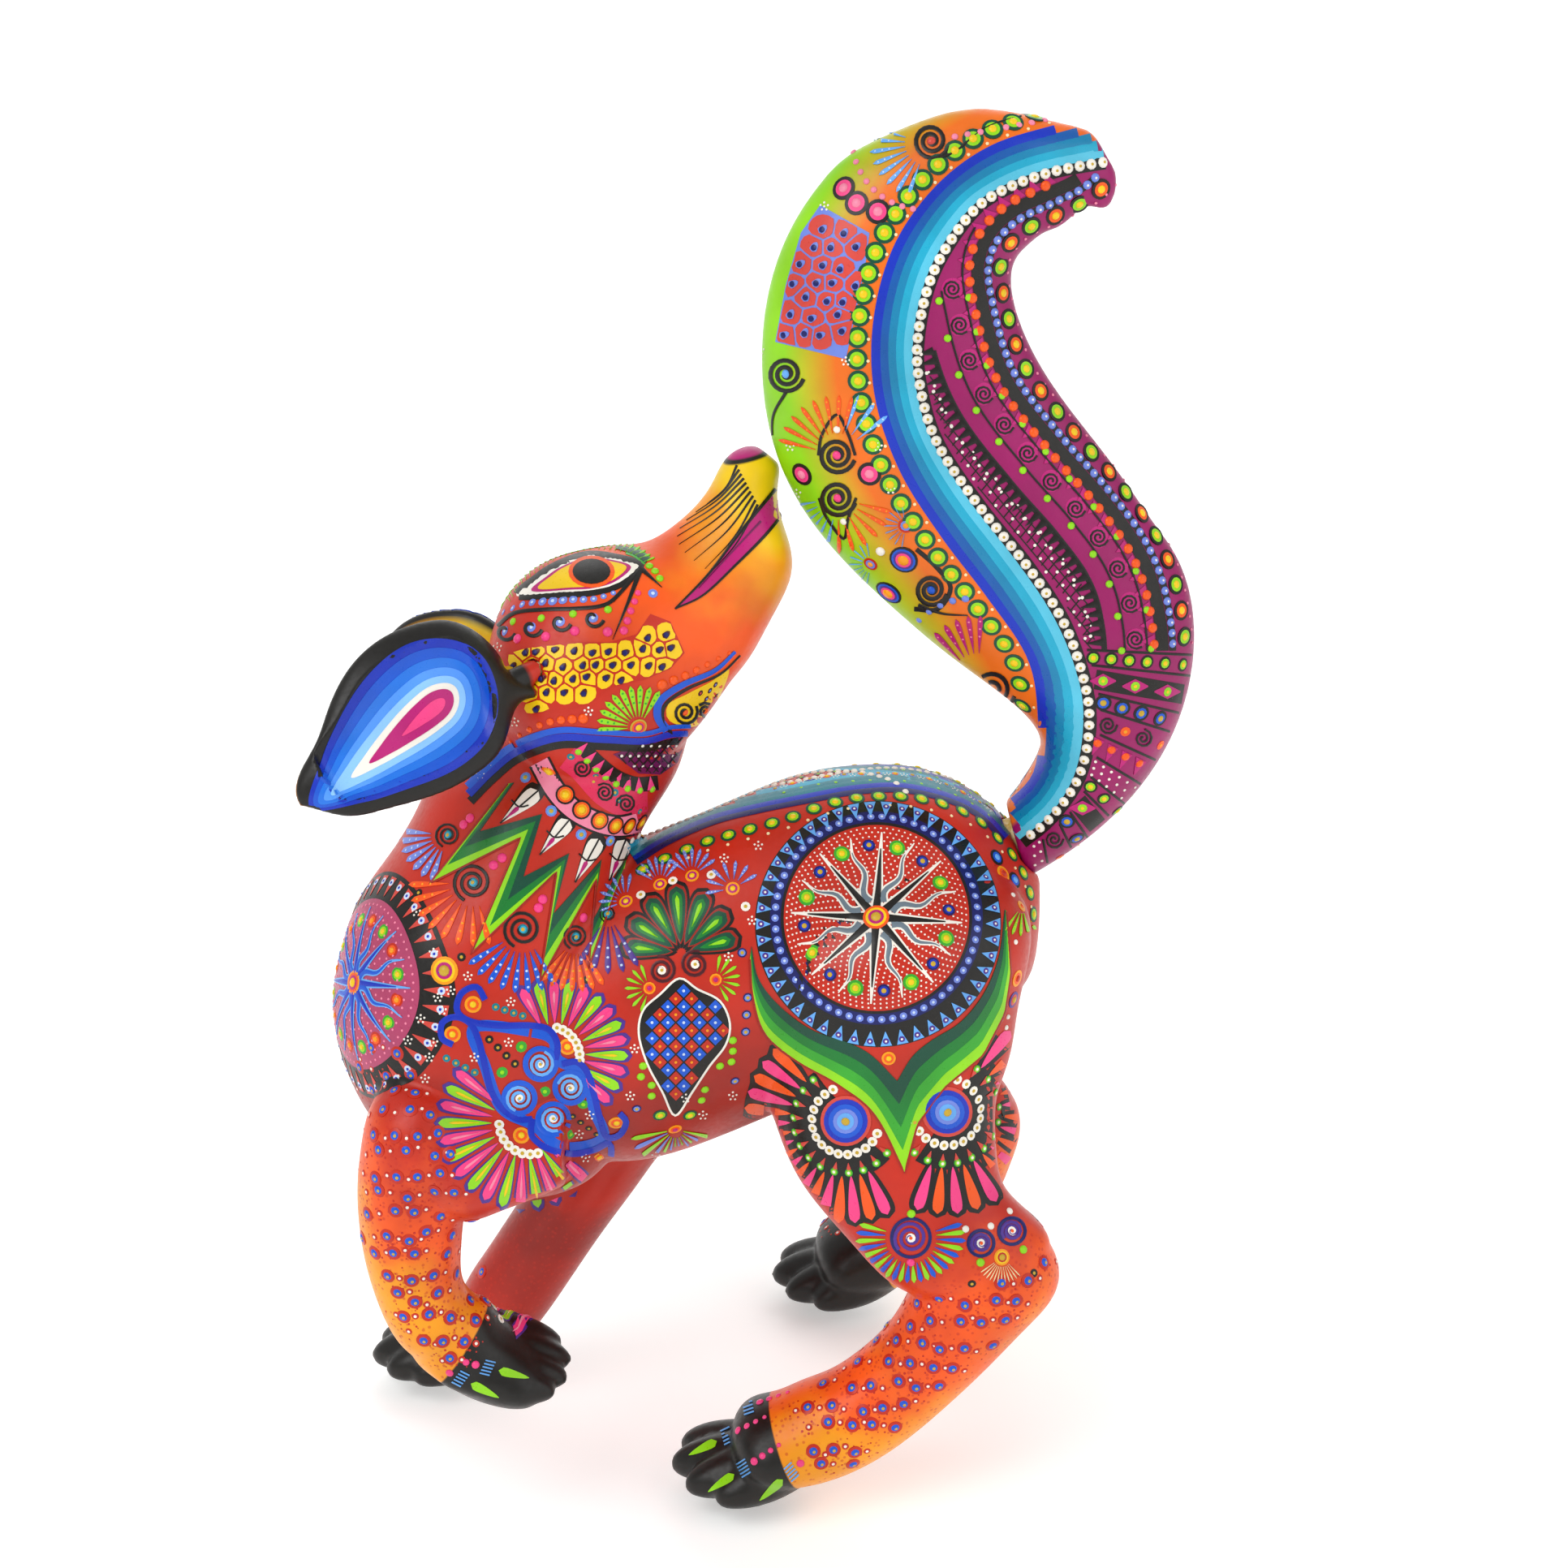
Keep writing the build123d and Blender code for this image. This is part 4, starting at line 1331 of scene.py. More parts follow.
def ellipse(centre, wide, tall, count=20):
    turns = [2 * math.pi * k / count for k in range(count)]
    return [(centre[0] + wide * math.cos(t), centre[1] + tall * math.sin(t)) for t in turns]


def shrunk(outline, centre, size):
    return [(centre[0] + (x - centre[0]) * size, centre[1] + (y - centre[1]) * size) for x, y in outline]


def paint_eye(brush):
    """A black pupil in orange, yellow, magenta and white, under a green brow."""
    almond = smooth_line(EYE_ALMOND, 1.2, closed=True)
    brush.stroke(almond, 1.6, "black", 1, closed=True)
    brush.patch(almond, "white", 1.5, 1.2)
    brush.patch(shrunk(almond, EYE, 0.80), "magenta", 2.2, 1.2)
    brush.patch(shrunk(almond, EYE, 0.71), "yellow", 3, 1.2)
    brush.patch(ellipse(EYE, 5.4, 3.7), "orange", 3.8, 1.2)
    brush.patch(ellipse(EYE, 4.4, 2.9), "black", 4.6, 1.2)
    brow = smooth_line(BROW, STEP)
    brush = brush.along_edge()
    brush.stroke(brow, 2.4, "leaf", 1.2, 0.8, 1.0)
    brush.stroke(brow[len(brow) * 2 // 3:], 1.6, "forest", 2.0, 0.3, 1.0)
    for x, y, angle in spaced(brow[3:], 1.3):
        turn = math.degrees(angle)
        brush.petal(polar((x, y), 0.9, turn - 120), polar((x, y), 1.9, turn + 60), 0.6, "lime", 2)


def paint_under_eye(brush):
    """Two rows of dots, and a dark line that curls round four of them."""
    row = smooth_line([(-65.7, 40.2), (-60.3, 42.3), (-54.5, 42.8), (-49.2, 43.2), (-44.5, 43.3),
                       (-39, 45)], STEP)
    for index, (x, y, _) in enumerate(spaced(row, 2.4)):
        size = 1.15 - 0.09 * abs(index - 5)
        brush.target((x, y), size, ["periwinkle", "ice"])
    brush.line([(-67, 37), (-63, 40), (-56, 40.8), (-49, 41), (-43, 41.6), (-39.5, 43.5), (-33.8, 50)],
               0.9, "black")
    for spot in HOOK_SPOTS:
        brush.spiral(spot, 2.6, "black", 0.85, 0.85, 40)
        brush.target(spot, 1.15, ["periwinkle", "ice"])
    brush.dots(((-63.4, 38), (-56.8, 38.8), (-49.4, 39.8), (-41.2, 40.8), (-31.5, 51), (-30.2, 49.8),
                (-29.1, 48.1)), 0.9, "lime", 2)
    for index, spot in enumerate([(-62.4, 34), (-55.8, 34.5), (-49, 35.8), (-41.3, 35.6), (-37.5, 35.9),
                                  (-36.7, 38.2), (-35.9, 40.5), (-35, 42.7), (-34.2, 44.7)]):
        brush.dot(spot, 1.1 if index < 4 else 0.95 - 0.06 * (index - 4), "pink", 2)
    brush.edge([(-33.5, 50.4), (-36.5, 42.5), (-40.1, 33.8)], 1.3, "black", 2, 1.0, 0.1)
    brush.edge([(-33.5, 50.4), (-39.8, 42.6)], 1.0, "black", 2, 1.0, 0.1)
    brush.edge([(-33.5, 50.4), (-28.6, 46)], 1.2, "black", 2, 1.0, 0.1)
    brush.target((-30.7, 44.6), 1.1, ["periwinkle", "ice"])


def paint_snout(brush):
    """The magenta mouth and nose with their dark edges, and long whisker strokes."""
    mouth = smooth_line(MOUTH_UPPER, 1.0) + smooth_line(MOUTH_LOWER, 1.0)[:-1]
    brush.patch(mouth, "magenta", 1, 1.2)
    brush.line(MOUTH_UPPER, 0.9, "black", 2, 0.5, 1.0)
    brush.line(MOUTH_LOWER, 0.8, "black", 2, 1.0, 0.5)
    brush.line([(-20, 45.8), (-12, 54.5), (-5.5, 61.5)], 0.5, "plum", 2, 0.3, 1.0)
    for k in range(WHISKERS):
        share = k / (WHISKERS - 1)
        root = (-11.0 + 4.8 * share, 74.6 - 9.2 * share)
        end = (-18 - 7 * math.sin(math.pi * min(1, share * 1.1)), 65.5 - 17 * share)
        middle = ((root[0] + end[0]) / 2 + 1.1, (root[1] + end[1]) / 2 - 0.4)
        brush.line([root, middle, end], 0.6, "black", 1, 1.0, 0.15)


def paint_jaw(brush):
    """The blue and black band under the cheek, its hook, and what they enclose."""
    brush.line([(x + 0.6, y - 2.6) for x, y in CHIN_BAND], 2.6, "black", 1, 0.8, 0.6)
    brush.line([(x + 0.2, y - 0.9) for x, y in CHIN_BAND], 2.0, "royal", 1.6, 1.0, 0.7)
    brush.line([(x, y + 0.8) for x, y in CHIN_BAND], 1.9, "blue", 2.2, 1.0, 0.5)
    brush.patch(smooth_line(CHIN_YELLOW, 1.2, closed=True), "yellow", 1, 1.2)
    brush.line(CHIN_HOOK, 2.1, "blue", 2, 1.0, 0.35)
    brush.line([(x + 1.2, y - 0.9) for x, y in CHIN_HOOK], 1.0, "black", 1.6, 1.0, 0.4)
    for spot, radius, start in (((-23.2, 16.8), 3.0, 30), ((-18.4, 17.2), 2.0, 140)):
        brush.spiral(spot, radius, "black", 0.7, 2.0, start)
        brush.dot(spot, 0.8, "orange", 3)
    for spot, name in (((-19.6, 21.3), "coral"), ((-17.4, 21.9), "periwinkle"), ((-18.2, 20), "periwinkle"),
                       ((-15.9, 20.6), "red"), ((-16.1, 23.3), "periwinkle")):
        brush.target(spot, 0.75, ["maroon", name])
    for index, (x, y, _) in enumerate(spaced(smooth_line([(-28.5, 23.2), (-21.5, 26.1), (-12.3, 31)],
                                                         STEP), 2.9)):
        brush.dot((x, y), 1.25 - 0.13 * index, "orange", 2)
    for index, (x, y, _) in enumerate(spaced(smooth_line([(-47, 15.3), (-54.5, 14.6), (-61, 12),
                                                          (-65, 9)], STEP), 2.6)):
        brush.dot((x, y), 1.15 - 0.09 * index, "orange", 2)
    fan(brush, (-34.1, 13.3), 2.6, 9.8, 60, 184, 10, "lime", 1.7, "leaf")
    brush.target((-34.1, 13.3), 2.0, ["gold", "orange", "magenta", "yellow"])
    flowers(brush, ((-67, 32), (-63, 14.5), (-45.8, 17)))


def paint_head():
    paint = Paint("head_paint", "body", "painted_head")
    for sheet in SIDES:
        brush = Brush(paint, sheet, body_surface)
        cell_patch(brush, CHEEK_CELLS, "yellow", "red", ("maroon", "navy"), 3.9, 8)
        paint_eye(brush)
        paint_under_eye(brush)
        paint_snout(brush)
        paint_jaw(brush)
    return paint.make()


# ------------------------------------------------------------------ the neck's and chest's paint
ZIGZAG_LOW = [(-64.6, 0), (-83, -23.5), (-61.7, -12.6), (-73.3, -39.8), (-53.3, -20.6), (-57.3, -46.4),
              (-44, -22.2), (-45.7, -43), (-37.5, -20)]
ZIGZAG_HIGH = [(-63.2, 0.3), (-71.2, -11.1), (-56.6, -7), (-61, -21.7), (-50.3, -16.2), (-54, -30.4),
               (-42.8, -17.7), (-45, -32.6), (-36.6, -15.5)]
ZIGZAG_GREENS = [("lime", 0.0, 0.36), ("green", 0.36, 0.7), ("forest", 0.7, 1.0)]
COLLAR = [(-57.3, 5.2), (-53.7, -1.3), (-49.3, -6), (-43.5, -9), (-38.4, -9.9), (-33.3, -8.8)]
COLLAR_DOTS = [(-55, 3), (-51.2, -2.5), (-47.4, -6), (-43.2, -8.5), (-39.5, -9.7), (-36.3, -9.8),
               (-33.5, -9)]
COLLAR_SPIRALS = [(-50.6, 6.4), (-47.3, 3.8), (-42, -2), (-37, -4.6), (-32, -4.8)]
COLLAR_TEETH = [(-47.5, 9), (-43.5, 5), (-39.2, 1.7), (-34.5, 0), (-29.5, 0.3)]
LEAVES = [((-66.4, -9.2), (-57.5, -1.6)), ((-57.2, -16.6), (-50.3, -8.4)), ((-49, -23), (-43.4, -12.8)),
          ((-41, -22.6), (-37.2, -13))]
NECK_FANS = [((-78.6, -12), 3.0, 175, 250, 7, 11.5, "periwinkle"),
             ((-72.8, -23.1), 4.6, 182, 285, 8, 15, "orange"),
             ((-61.2, -34), 4.5, 213, 300, 8, 15, "blue"),
             ((-48.8, -35.8), 3.0, 232, 300, 7, 13, "orange"),
             ((-41.2, -30.5), 2.0, 240, 300, 5, 14, "violet")]


def paint_collar(brush):
    """The pink collar with its ringed dots, and the rows of spirals and teeth above it."""
    brush.line(COLLAR, 5.4, "black", 0.8)
    brush.line(COLLAR, 4.3, "rose", 1.4)
    brush.targets(COLLAR_DOTS, 2.2, ["black", "orange", "amber", "yellow"], 2)
    brush.line(COLLAR_SPIRALS, 6.4, "raspberry", 0.6)
    for index, spot in enumerate(COLLAR_SPIRALS[1:4]):
        brush.spiral(spot, 2.3, "black", 0.5, 2.2, 60 * index)
        brush.target((spot[0] - 2.6, spot[1] + 2.6), 0.9, ["teal", "gold"])
        brush.target((spot[0] + 3.2, spot[1] - 1.8), 0.7, ["teal", "gold"])
    brush.line(COLLAR_TEETH, 3.4, "black", 1)
    triangle_row(brush, smooth_line([(x - 0.8, y - 1.6) for x, y in COLLAR_TEETH], STEP), 2.9, 3.2, 2.0,
                 "pink", 2)
    brush.dots(spaced(smooth_line([(x - 0.6, y - 1.4) for x, y in COLLAR_TEETH], STEP), 2.9), 0.8, "lime",
               3)
    net = [(-40, 7), (-33, 9.3), (-22.5, 11.5), (-25, 5), (-29, 2.2), (-34, 2.5)]
    brush.patch(straight_line(net, 1.6, closed=True), "plum", 1)
    lattice(brush, lambda spot: inside(spot, net), (-40, 2), (-22, 12), 1.5, 50, "black", "white", 2)


def paint_neck(brush):
    """The three greens of the zigzag, white leaves above it, and spirals with fans below."""
    low = straight_line(ZIGZAG_LOW, 60)
    for name, first, last in ZIGZAG_GREENS:
        lower, upper = between(low, ZIGZAG_HIGH, first), between(low, ZIGZAG_HIGH, last)
        for k in range(len(lower) - 1):
            outline = [lower[k], lower[k + 1], upper[k + 1], upper[k]]
            brush.patch(straight_line(outline, 1.5, closed=True), name, 1.6 + 0.3 * (k % 2), 1.5)
    brush.edge(ZIGZAG_LOW, 0.5, "deep_red", 2.4)
    for tip, top in LEAVES:
        brush.petal(tip, (top[0] + 0.7, top[1] + 1.2), 6.4, "black", 0.8, 0.9)
        brush.petal(tip, top, 5.0, "white", 1.8, 0.9)
        brush.edge([tip, top], 0.4, "black", 2.6)
        middle = ((tip[0] + top[0]) / 2, (tip[1] + top[1]) / 2)
        brush.line([(middle[0] - 1.8, middle[1] + 1.6), middle, (middle[0] + 2.2, middle[1] + 0.4)], 0.4,
                   "black", 2.6)
        brush.petal((tip[0] * 0.85 + top[0] * 0.15, tip[1] * 0.85 + top[1] * 0.15), middle, 1.3,
                    "magenta", 3)
    for centre, radius, first, last, count, reach, name in NECK_FANS:
        fan(brush, centre, radius + 1, reach, first, last, count, name, 1.9,
            "amber" if name == "orange" else "ice")
        brush.spiral(centre, radius, "black", 0.17 * radius, 2.4, 100)
        brush.target(centre, 1.2, ["teal", "cyan", "gold"], 2)
    brush.dots(((-75, -9.5), (-73.5, -8), (-68, -19), (-66, -17.3), (-57.5, -29), (-56.5, -27),
                (-47, -31.3)), 1.1, "pink", 2)
    brush.targets(((-60.5, 1.5), (-54.5, -6.3), (-47.5, -11.8), (-40.7, -13.3)), 1.3,
                  ["periwinkle", "sky", "gold"])
    brush.targets(((-85.5, -25.5), (-75.5, -40.5), (-57.3, -48.5), (-46, -45.8)), 1.0, ["black", "gold"])
    brush.target((-79.5, -43.7), 3.2, ["amber", "yellow", "magenta", "gold"])
    flowers(brush, ((-82, -39.5), (-74, -45), (-78, -48.4), (-81, -50), (-64, -51), (-86, -30), (-71, 2),
                    (-69, 5)))


def rays(brush, count, inner, outer, names, width, wave=0.0, offset=0.0, layer=2.6):
    """Rays round the sheet's middle, straight or wavy, each a coloured core on a wider stroke."""
    for k in range(count):
        turn = math.radians(offset + 360 * k / count)
        line = []
        for n in range(15):
            reach = inner + (outer - inner) * n / 14
            sway = wave * math.sin(2 * math.pi * n / 8.5) * (1 - n / 20)
            line.append((reach * math.cos(turn) - sway * math.sin(turn),
                         reach * math.sin(turn) + sway * math.cos(turn)))
        brush.stroke(line, width, names[0], layer, 1.0, 0.12)
        brush.stroke(line[:12], width * 0.62, names[1], layer + 1.2, 1.0, 0.15)


def paint_chest_medallion(brush):
    """A disc of blue rays on stippled mauve, ringed with black teeth, on one side only."""
    face = brush.near((-100.5, -46.5))
    if brush.sheet is far_side or not face:
        return
    face.disc((0, 0), 26.0, "black", 0.8, 2.0)
    face.disc((0, 0), 19.5, "mauve", 1.4, 2.0)
    for ring in range(9):
        for k in range(6 * (ring + 2)):
            face.dot(polar((0, 0), 3 + 1.9 * ring, 360 * k / (6 * (ring + 2)) + 11 * ring), 0.3, "rose",
                     1.7)
    rays(face, 8, 2, 17.5, ("sky", "royal"), 2.4, 0.0, 0)
    rays(face, 8, 2.5, 17, ("sky", "blue"), 2.1, 1.0, 22.5)
    face.target((0, 0), 2.8, ["amber", "orange", "magenta", "yellow"], 4)
    for k in range(16):
        face.target(polar((0, 0), 14.6, 22.5 * k + 11), 1.7,
                    [("leaf", "lime", "yellow"), ("red", "orange", "amber")][k % 2])
    for k in range(36):
        base, tip = polar((0, 0), 25, 10 * k), polar((0, 0), 20.4, 10 * k)
        face.stroke(straight_line([base, tip], STEP), 2.6, "coral", 1.6, 1.0, 0.05)
        face.target(polar((0, 0), 23.7, 10 * k), 0.9, ["ice", "royal"], 2)


HEART_LINES = [[(-70, -50.5), (-72, -47.5), (-75.5, -49), (-76.5, -53), (-73.5, -55.5), (-67, -56.5),
                (-59.5, -56.5), (-55, -57.5), (-53, -61), (-53.5, -64.5)],
               [(-77.5, -61), (-80, -59.5), (-80, -56), (-77, -54.5), (-73.5, -56), (-71.5, -60),
                (-70, -66), (-68.5, -72), (-66, -76), (-62.5, -78.5), (-59, -78.5)],
               [(-52, -65.5), (-48.5, -65), (-46, -67.5), (-44.5, -72.5), (-43, -78.5), (-41.5, -82.5),
                (-38.5, -82), (-37, -79), (-38.5, -77)],
               [(-59, -78.5), (-59, -82.5), (-55, -85.5), (-49.5, -86.5), (-44.5, -85.5), (-41, -84),
                (-40.5, -87), (-42, -89.5)],]
HEART_SPIRALS = [(-57, -65.5), (-50, -71), (-62, -73.5), (-54, -78.5)]


def paint_shoulder(brush):
    """The blue heart with its spirals, dotted arcs and two fans of outlined petals."""
    for centre, inner, outer, first, last, count in (((-53.5, -63), 7, 17, -42, 118, 13),
                                                     ((-61, -79.5), 7.5, 20, 142, 318, 15)):
        for k, angle in enumerate(spread(first, last, count)):
            base, tip = polar(centre, inner, angle), polar(centre, outer, angle)
            brush.petal(base, polar(centre, outer + 1, angle), 4.2, "violet", 1, 0.7)
            brush.petal(base, tip, 3.0, ("pink", "lime")[k % 2], 2, 0.75)
            brush.spoke(centre, inner + 3, outer - 2.5, angle, 0.8,
                        ("rose", "yellow")[k % 2], 3)
    brush.line([(-59, -58), (-54, -60), (-53, -64.5), (-46.5, -68), (-44.5, -76), (-42.5, -83), (-52, -85),
                (-58.5, -80), (-66, -76), (-70, -66), (-72.5, -57)], 2.6, "blue", 1.4, closed=True)
    for line in HEART_LINES:
        brush.line(line, 1.5, "royal", 2.2)
    for index, spot in enumerate(HEART_SPIRALS):
        brush.ring(spot, 3.6, 1.3, "blue", 2)
        brush.spiral(spot, 3.1, "sky", 0.75, 2.2, 90 * index, 1, 2.4)
        brush.target(spot, 0.95, ["white", "gold"], 3)
    brush.targets(((-61.5, -61.5), (-66, -67.5), (-56, -72), (-47, -75), (-50, -82)), 1.3, ["leaf", "lime"])
    brush.targets(((-50.7, -61.5), (-61.5, -82.3), (-72.8, -51.6), (-77.6, -58.6), (-39.2, -79.3),
                   (-43.3, -87.3)), 1.9, ["amber", "orange", "yellow"])
    for centre, first, last in (((-55, -64), 75, -5), ((-59.5, -79.5), 182, 285)):
        for k in range(8):
            spot = polar(centre, 7.2, first + (last - first) * k / 7)
            brush.target(spot, 1.15, ["white", "gold"], 2)
    for k in range(4):
        brush.target((-69 + 2 * k, -59.8 - 1.9 * k), 0.95, ["black", "gold"])
        brush.target((-49.5 + 1.9 * k, -77.8 - 1.4 * k), 0.85, ["black", "gold"])
        brush.target((-67.5 + 2.1 * k, -52.2 - 0.7 * k), 0.9, ["teal", "gold"])
        brush.target((-79 + 2.2 * k, -64.2 - 1.1 * k), 0.9, ["teal", "gold"])
    flowers(brush, ((-80, -53), (-82, -60.5), (-72.5, -64), (-64.5, -60.5), (-45.5, -77.5), (-48, -82),
                    (-46.5, -87.5), (-83, -64), (-85, -55), (-84, -69), (-88, -60)))


# ------------------------------------------------------------------ the flank's and back's paint
DROP_OUTLINE = [(-24.5, -45.5), (-29, -49.2), (-33, -53), (-34, -58.5), (-32, -65.5), (-28.5, -72),
                (-25.5, -77.5), (-21.5, -72), (-17.5, -66), (-13.7, -61), (-12.7, -56), (-15, -50.8),
                (-20.3, -48)]
SPINE = [(-35.5, -17), (-27.5, -12), (-17, -7.4), (-6, -4.6), (6, -2.2), (16, -0.4), (27, 0.2), (38, -2),
         (46.5, -6), (52.5, -12)]
LIME_OVALS = [(-33, -20), (-28, -17.5), (-22.8, -15.3), (-17.9, -13.4), (-13, -12), (-8, -10.6),
              (-2.8, -9.2), (2.1, -7.7), (7, -5.8), (12, -4.3), (17, -3.3), (22.2, -2.9), (27.3, -2.9),
              (32.2, -3.5), (37, -4.6), (41.8, -6.4), (46.2, -9), (50, -12.6), (53.4, -16.5), (56, -20.8),
              (57.6, -25.5), (58.4, -30.5)]


def paint_spine(brush):
    """Blues along the back, between white dots above and lime dots below."""
    brush = brush.along_edge()
    line = smooth_line(SPINE, 1.0)
    for offset, name in ((-1.6, "navy"), (-0.5, "royal"), (0.5, "teal"), (1.5, "teal"), (2.3, "cyan")):
        brush.stroke(parallel(line, offset), 1.4, name, 1)
    brush.dots(spaced(parallel(line, 3.3), 1.9), 0.8, "white", 2)
    brush.targets(LIME_OVALS, 1.9, ["forest", "lime", "yellow"])
    brush.dots(spaced(smooth_line([(a, b - 2.2) for a, b in LIME_OVALS], STEP)[2:], 4.9), 0.4, "cream")


def paint_crest(paint):
    """The top of the back, seen from above: lime dots and small flowers on stippled maroon."""
    top = Sheet(Vector((0, 0, 0.178)), Vector((1, 0, 0)), Vector((0, 1, 0)), Vector((0, 0, 1)))
    brush = Brush(paint, top, body_surface)
    for k in range(13):
        x = 4 + 4.0 * k
        y = -13.5 + 0.17 * x
        for side in (-1, 1):
            brush.target((x + 2, y + side * 3.4), 1.1, ["maroon", "lime"])
        brush.target((x, y), 1.3, [("navy", "periwinkle", "gold"), ("magenta", "orange", "yellow")][k % 2])
        flower(brush, (x + 2, y), 0.8)


CHECK_MIDDLE = (-23.5, -59.5)
CHECK_STEP = 1.85                # half a check's diagonal and the room beside it


def paint_checks(brush):
    """A drop of blue and red checks with a white edge."""
    outline = smooth_line(DROP_OUTLINE, 1.2, closed=True)
    brush.patch(outline, "black", 1, 1.6)
    brush.stroke(outline, 0.5, "white", 2, closed=True)
    for row in range(-12, 13):
        for column in range(-8 + row % 2, 9, 2):
            spot = (CHECK_MIDDLE[0] + column * CHECK_STEP, CHECK_MIDDLE[1] + row * CHECK_STEP)
            if inside(spot, outline) and min(math.dist(spot, p) for p in outline) > 1.5:
                diamond = [polar(spot, CHECK_STEP * 0.86, 90 * k) for k in range(4)]
                brush.patch(diamond, ("blue", "red")[row % 2], 2, 3.0)
                brush.dot(spot, 0.35, ("ice", "amber")[row % 2], 3)


def paint_flank(brush):
    """The green fan, checkered drop, small spirals and fans of the flank."""
    base = (-24, -39.5)
    for k in range(7):
        angle = 174 - 26.5 * k
        reach = 15.5 - 0.8 * abs(k - 3)
        brush.spoke(base, 1, reach + 1.6, angle, 7.2, "black", 1, 0.55)
        brush.spoke(base, 2.0, reach + 0.7, angle, 5.8, "deep_red", 1.5, 0.6)
        brush.spoke(base, 2.5, reach, angle, 4.8, "forest", 2.1, 0.6)
        brush.spoke(base, 4.5, reach - 1.2, angle, 3.0, "green", 2.8, 0.6)
        brush.spoke(base, 6.5, reach - 2.2, angle, 1.3, "lime", 3.5)
    brush.targets(((-33.5, -26), (-26, -22.7), (-17, -21.3), (-9, -28.7)), 1.1, ["white", "gold"], 2)
    for index, spot in enumerate([(-28.6, -43.6), (-20.8, -42.2)]):
        brush.spiral(spot, 3.3, "maroon", 0.75, 2.3, 180 * index, 1 - 2 * index)
        brush.target(spot, 1.0, ["white", "gold"], 3)
    for spot, first, last in (((-29, -23.5), 50, 150), ((-21.5, -21.5), 35, 145), ((-12, -24.5), 30, 190),
                              ((-37, -27.5), 80, 200)):
        fan(brush, spot, 2.2, 6.5, first, last, 7, "periwinkle", 1.1, "ice")
        brush.target(spot, 1.6, ["amber", "magenta", "yellow"])
    for spot, first, last in (((-16, -45.8), -60, 80), ((-31.5, -47.8), 110, 250)):
        fan(brush, spot, 1.9, 5.8, first, last, 7, "lime", 1.0)
        brush.target(spot, 1.4, ["amber", "orange", "magenta"])
    paint_checks(brush)
    brush.target((-25.5, -80.8), 1.6, ["amber", "orange", "magenta"])
    for k in range(13):
        angle = 192 + 13 * k
        brush.spoke((-25.5, -80.8), 2, 10.5, angle, 1.3,
                    ("lime", "periwinkle")[k % 2])
    for spot, radius in (((-29, -77.5), 1.7), ((-22, -77.5), 1.7)):
        brush.target(spot, radius, ["forest", "lime", "yellow"])
    brush.dots(((-33, -66), (-33.5, -68.5), (-31, -70.5), (-31, -73), (-12, -60), (-12, -62.5),
                (-12.3, -65), (-15, -66), (-18.5, -71.5), (-19.3, -74)), 0.95, "lime")
    brush.targets(((-9.8, -39.5), (-11.5, -69.5), (-34.5, -76), (-8.5, -50), (-8.8, -54), (-9, -58)), 1.1,
                  ["navy", "periwinkle", "gold"])
    flowers(brush, ((-23, -73.5), (-7.5, -32), (-13, -40.5), (-12, -73), (-35, -62), (-30, -87),
                    (-6, -14.5), (-14, -17.5), (-19, -77.5), (-36, -73)))


# ------------------------------------------------------------------ the hip's and thigh's paint
HIP = (21.6, -31.4)
HIP_RIM = (0.4, -1.4)            # the middle of the medallion's outer ring, from its star
HIP_BEADS = 58
HIP_TEETH = 46
COLLAR_EDGE = [(-8, -41), (-7.3, -50), (-4.5, -58.5), (3, -64.8), (12.9, -70.5), (21.3, -77.5), (28.2, -91),
               (31.2, -79.6), (37.5, -71), (46.6, -63.4), (51.6, -53.6), (53, -44.5), (52, -30)]
COLLAR_INNER = [(-7.6, -38), (-6, -45.5), (-1, -52), (6.5, -57.5), (15, -60.5), (20.5, -63.5),
                (26.5, -69.5), (30, -63.8), (34.5, -60), (41.5, -55.5), (47, -48.5), (50.3, -40),
                (51.6, -29.5)]
OWL_EYES = [((14.5, -78.8), 112, 338), ((38.1, -76.7), 72, -162)]
EYE_BEADS = 15
OWL_PETALS = [(126, 322, 22, -60, 27.5), (-152, 52, 19, 29.0, 90)]     # angles, count and the room across
OWL_IRIS = [("coral", 5.9), ("royal", 5.1), ("blue", 4.0), ("periwinkle", 2.9), ("sky", 2.0)]


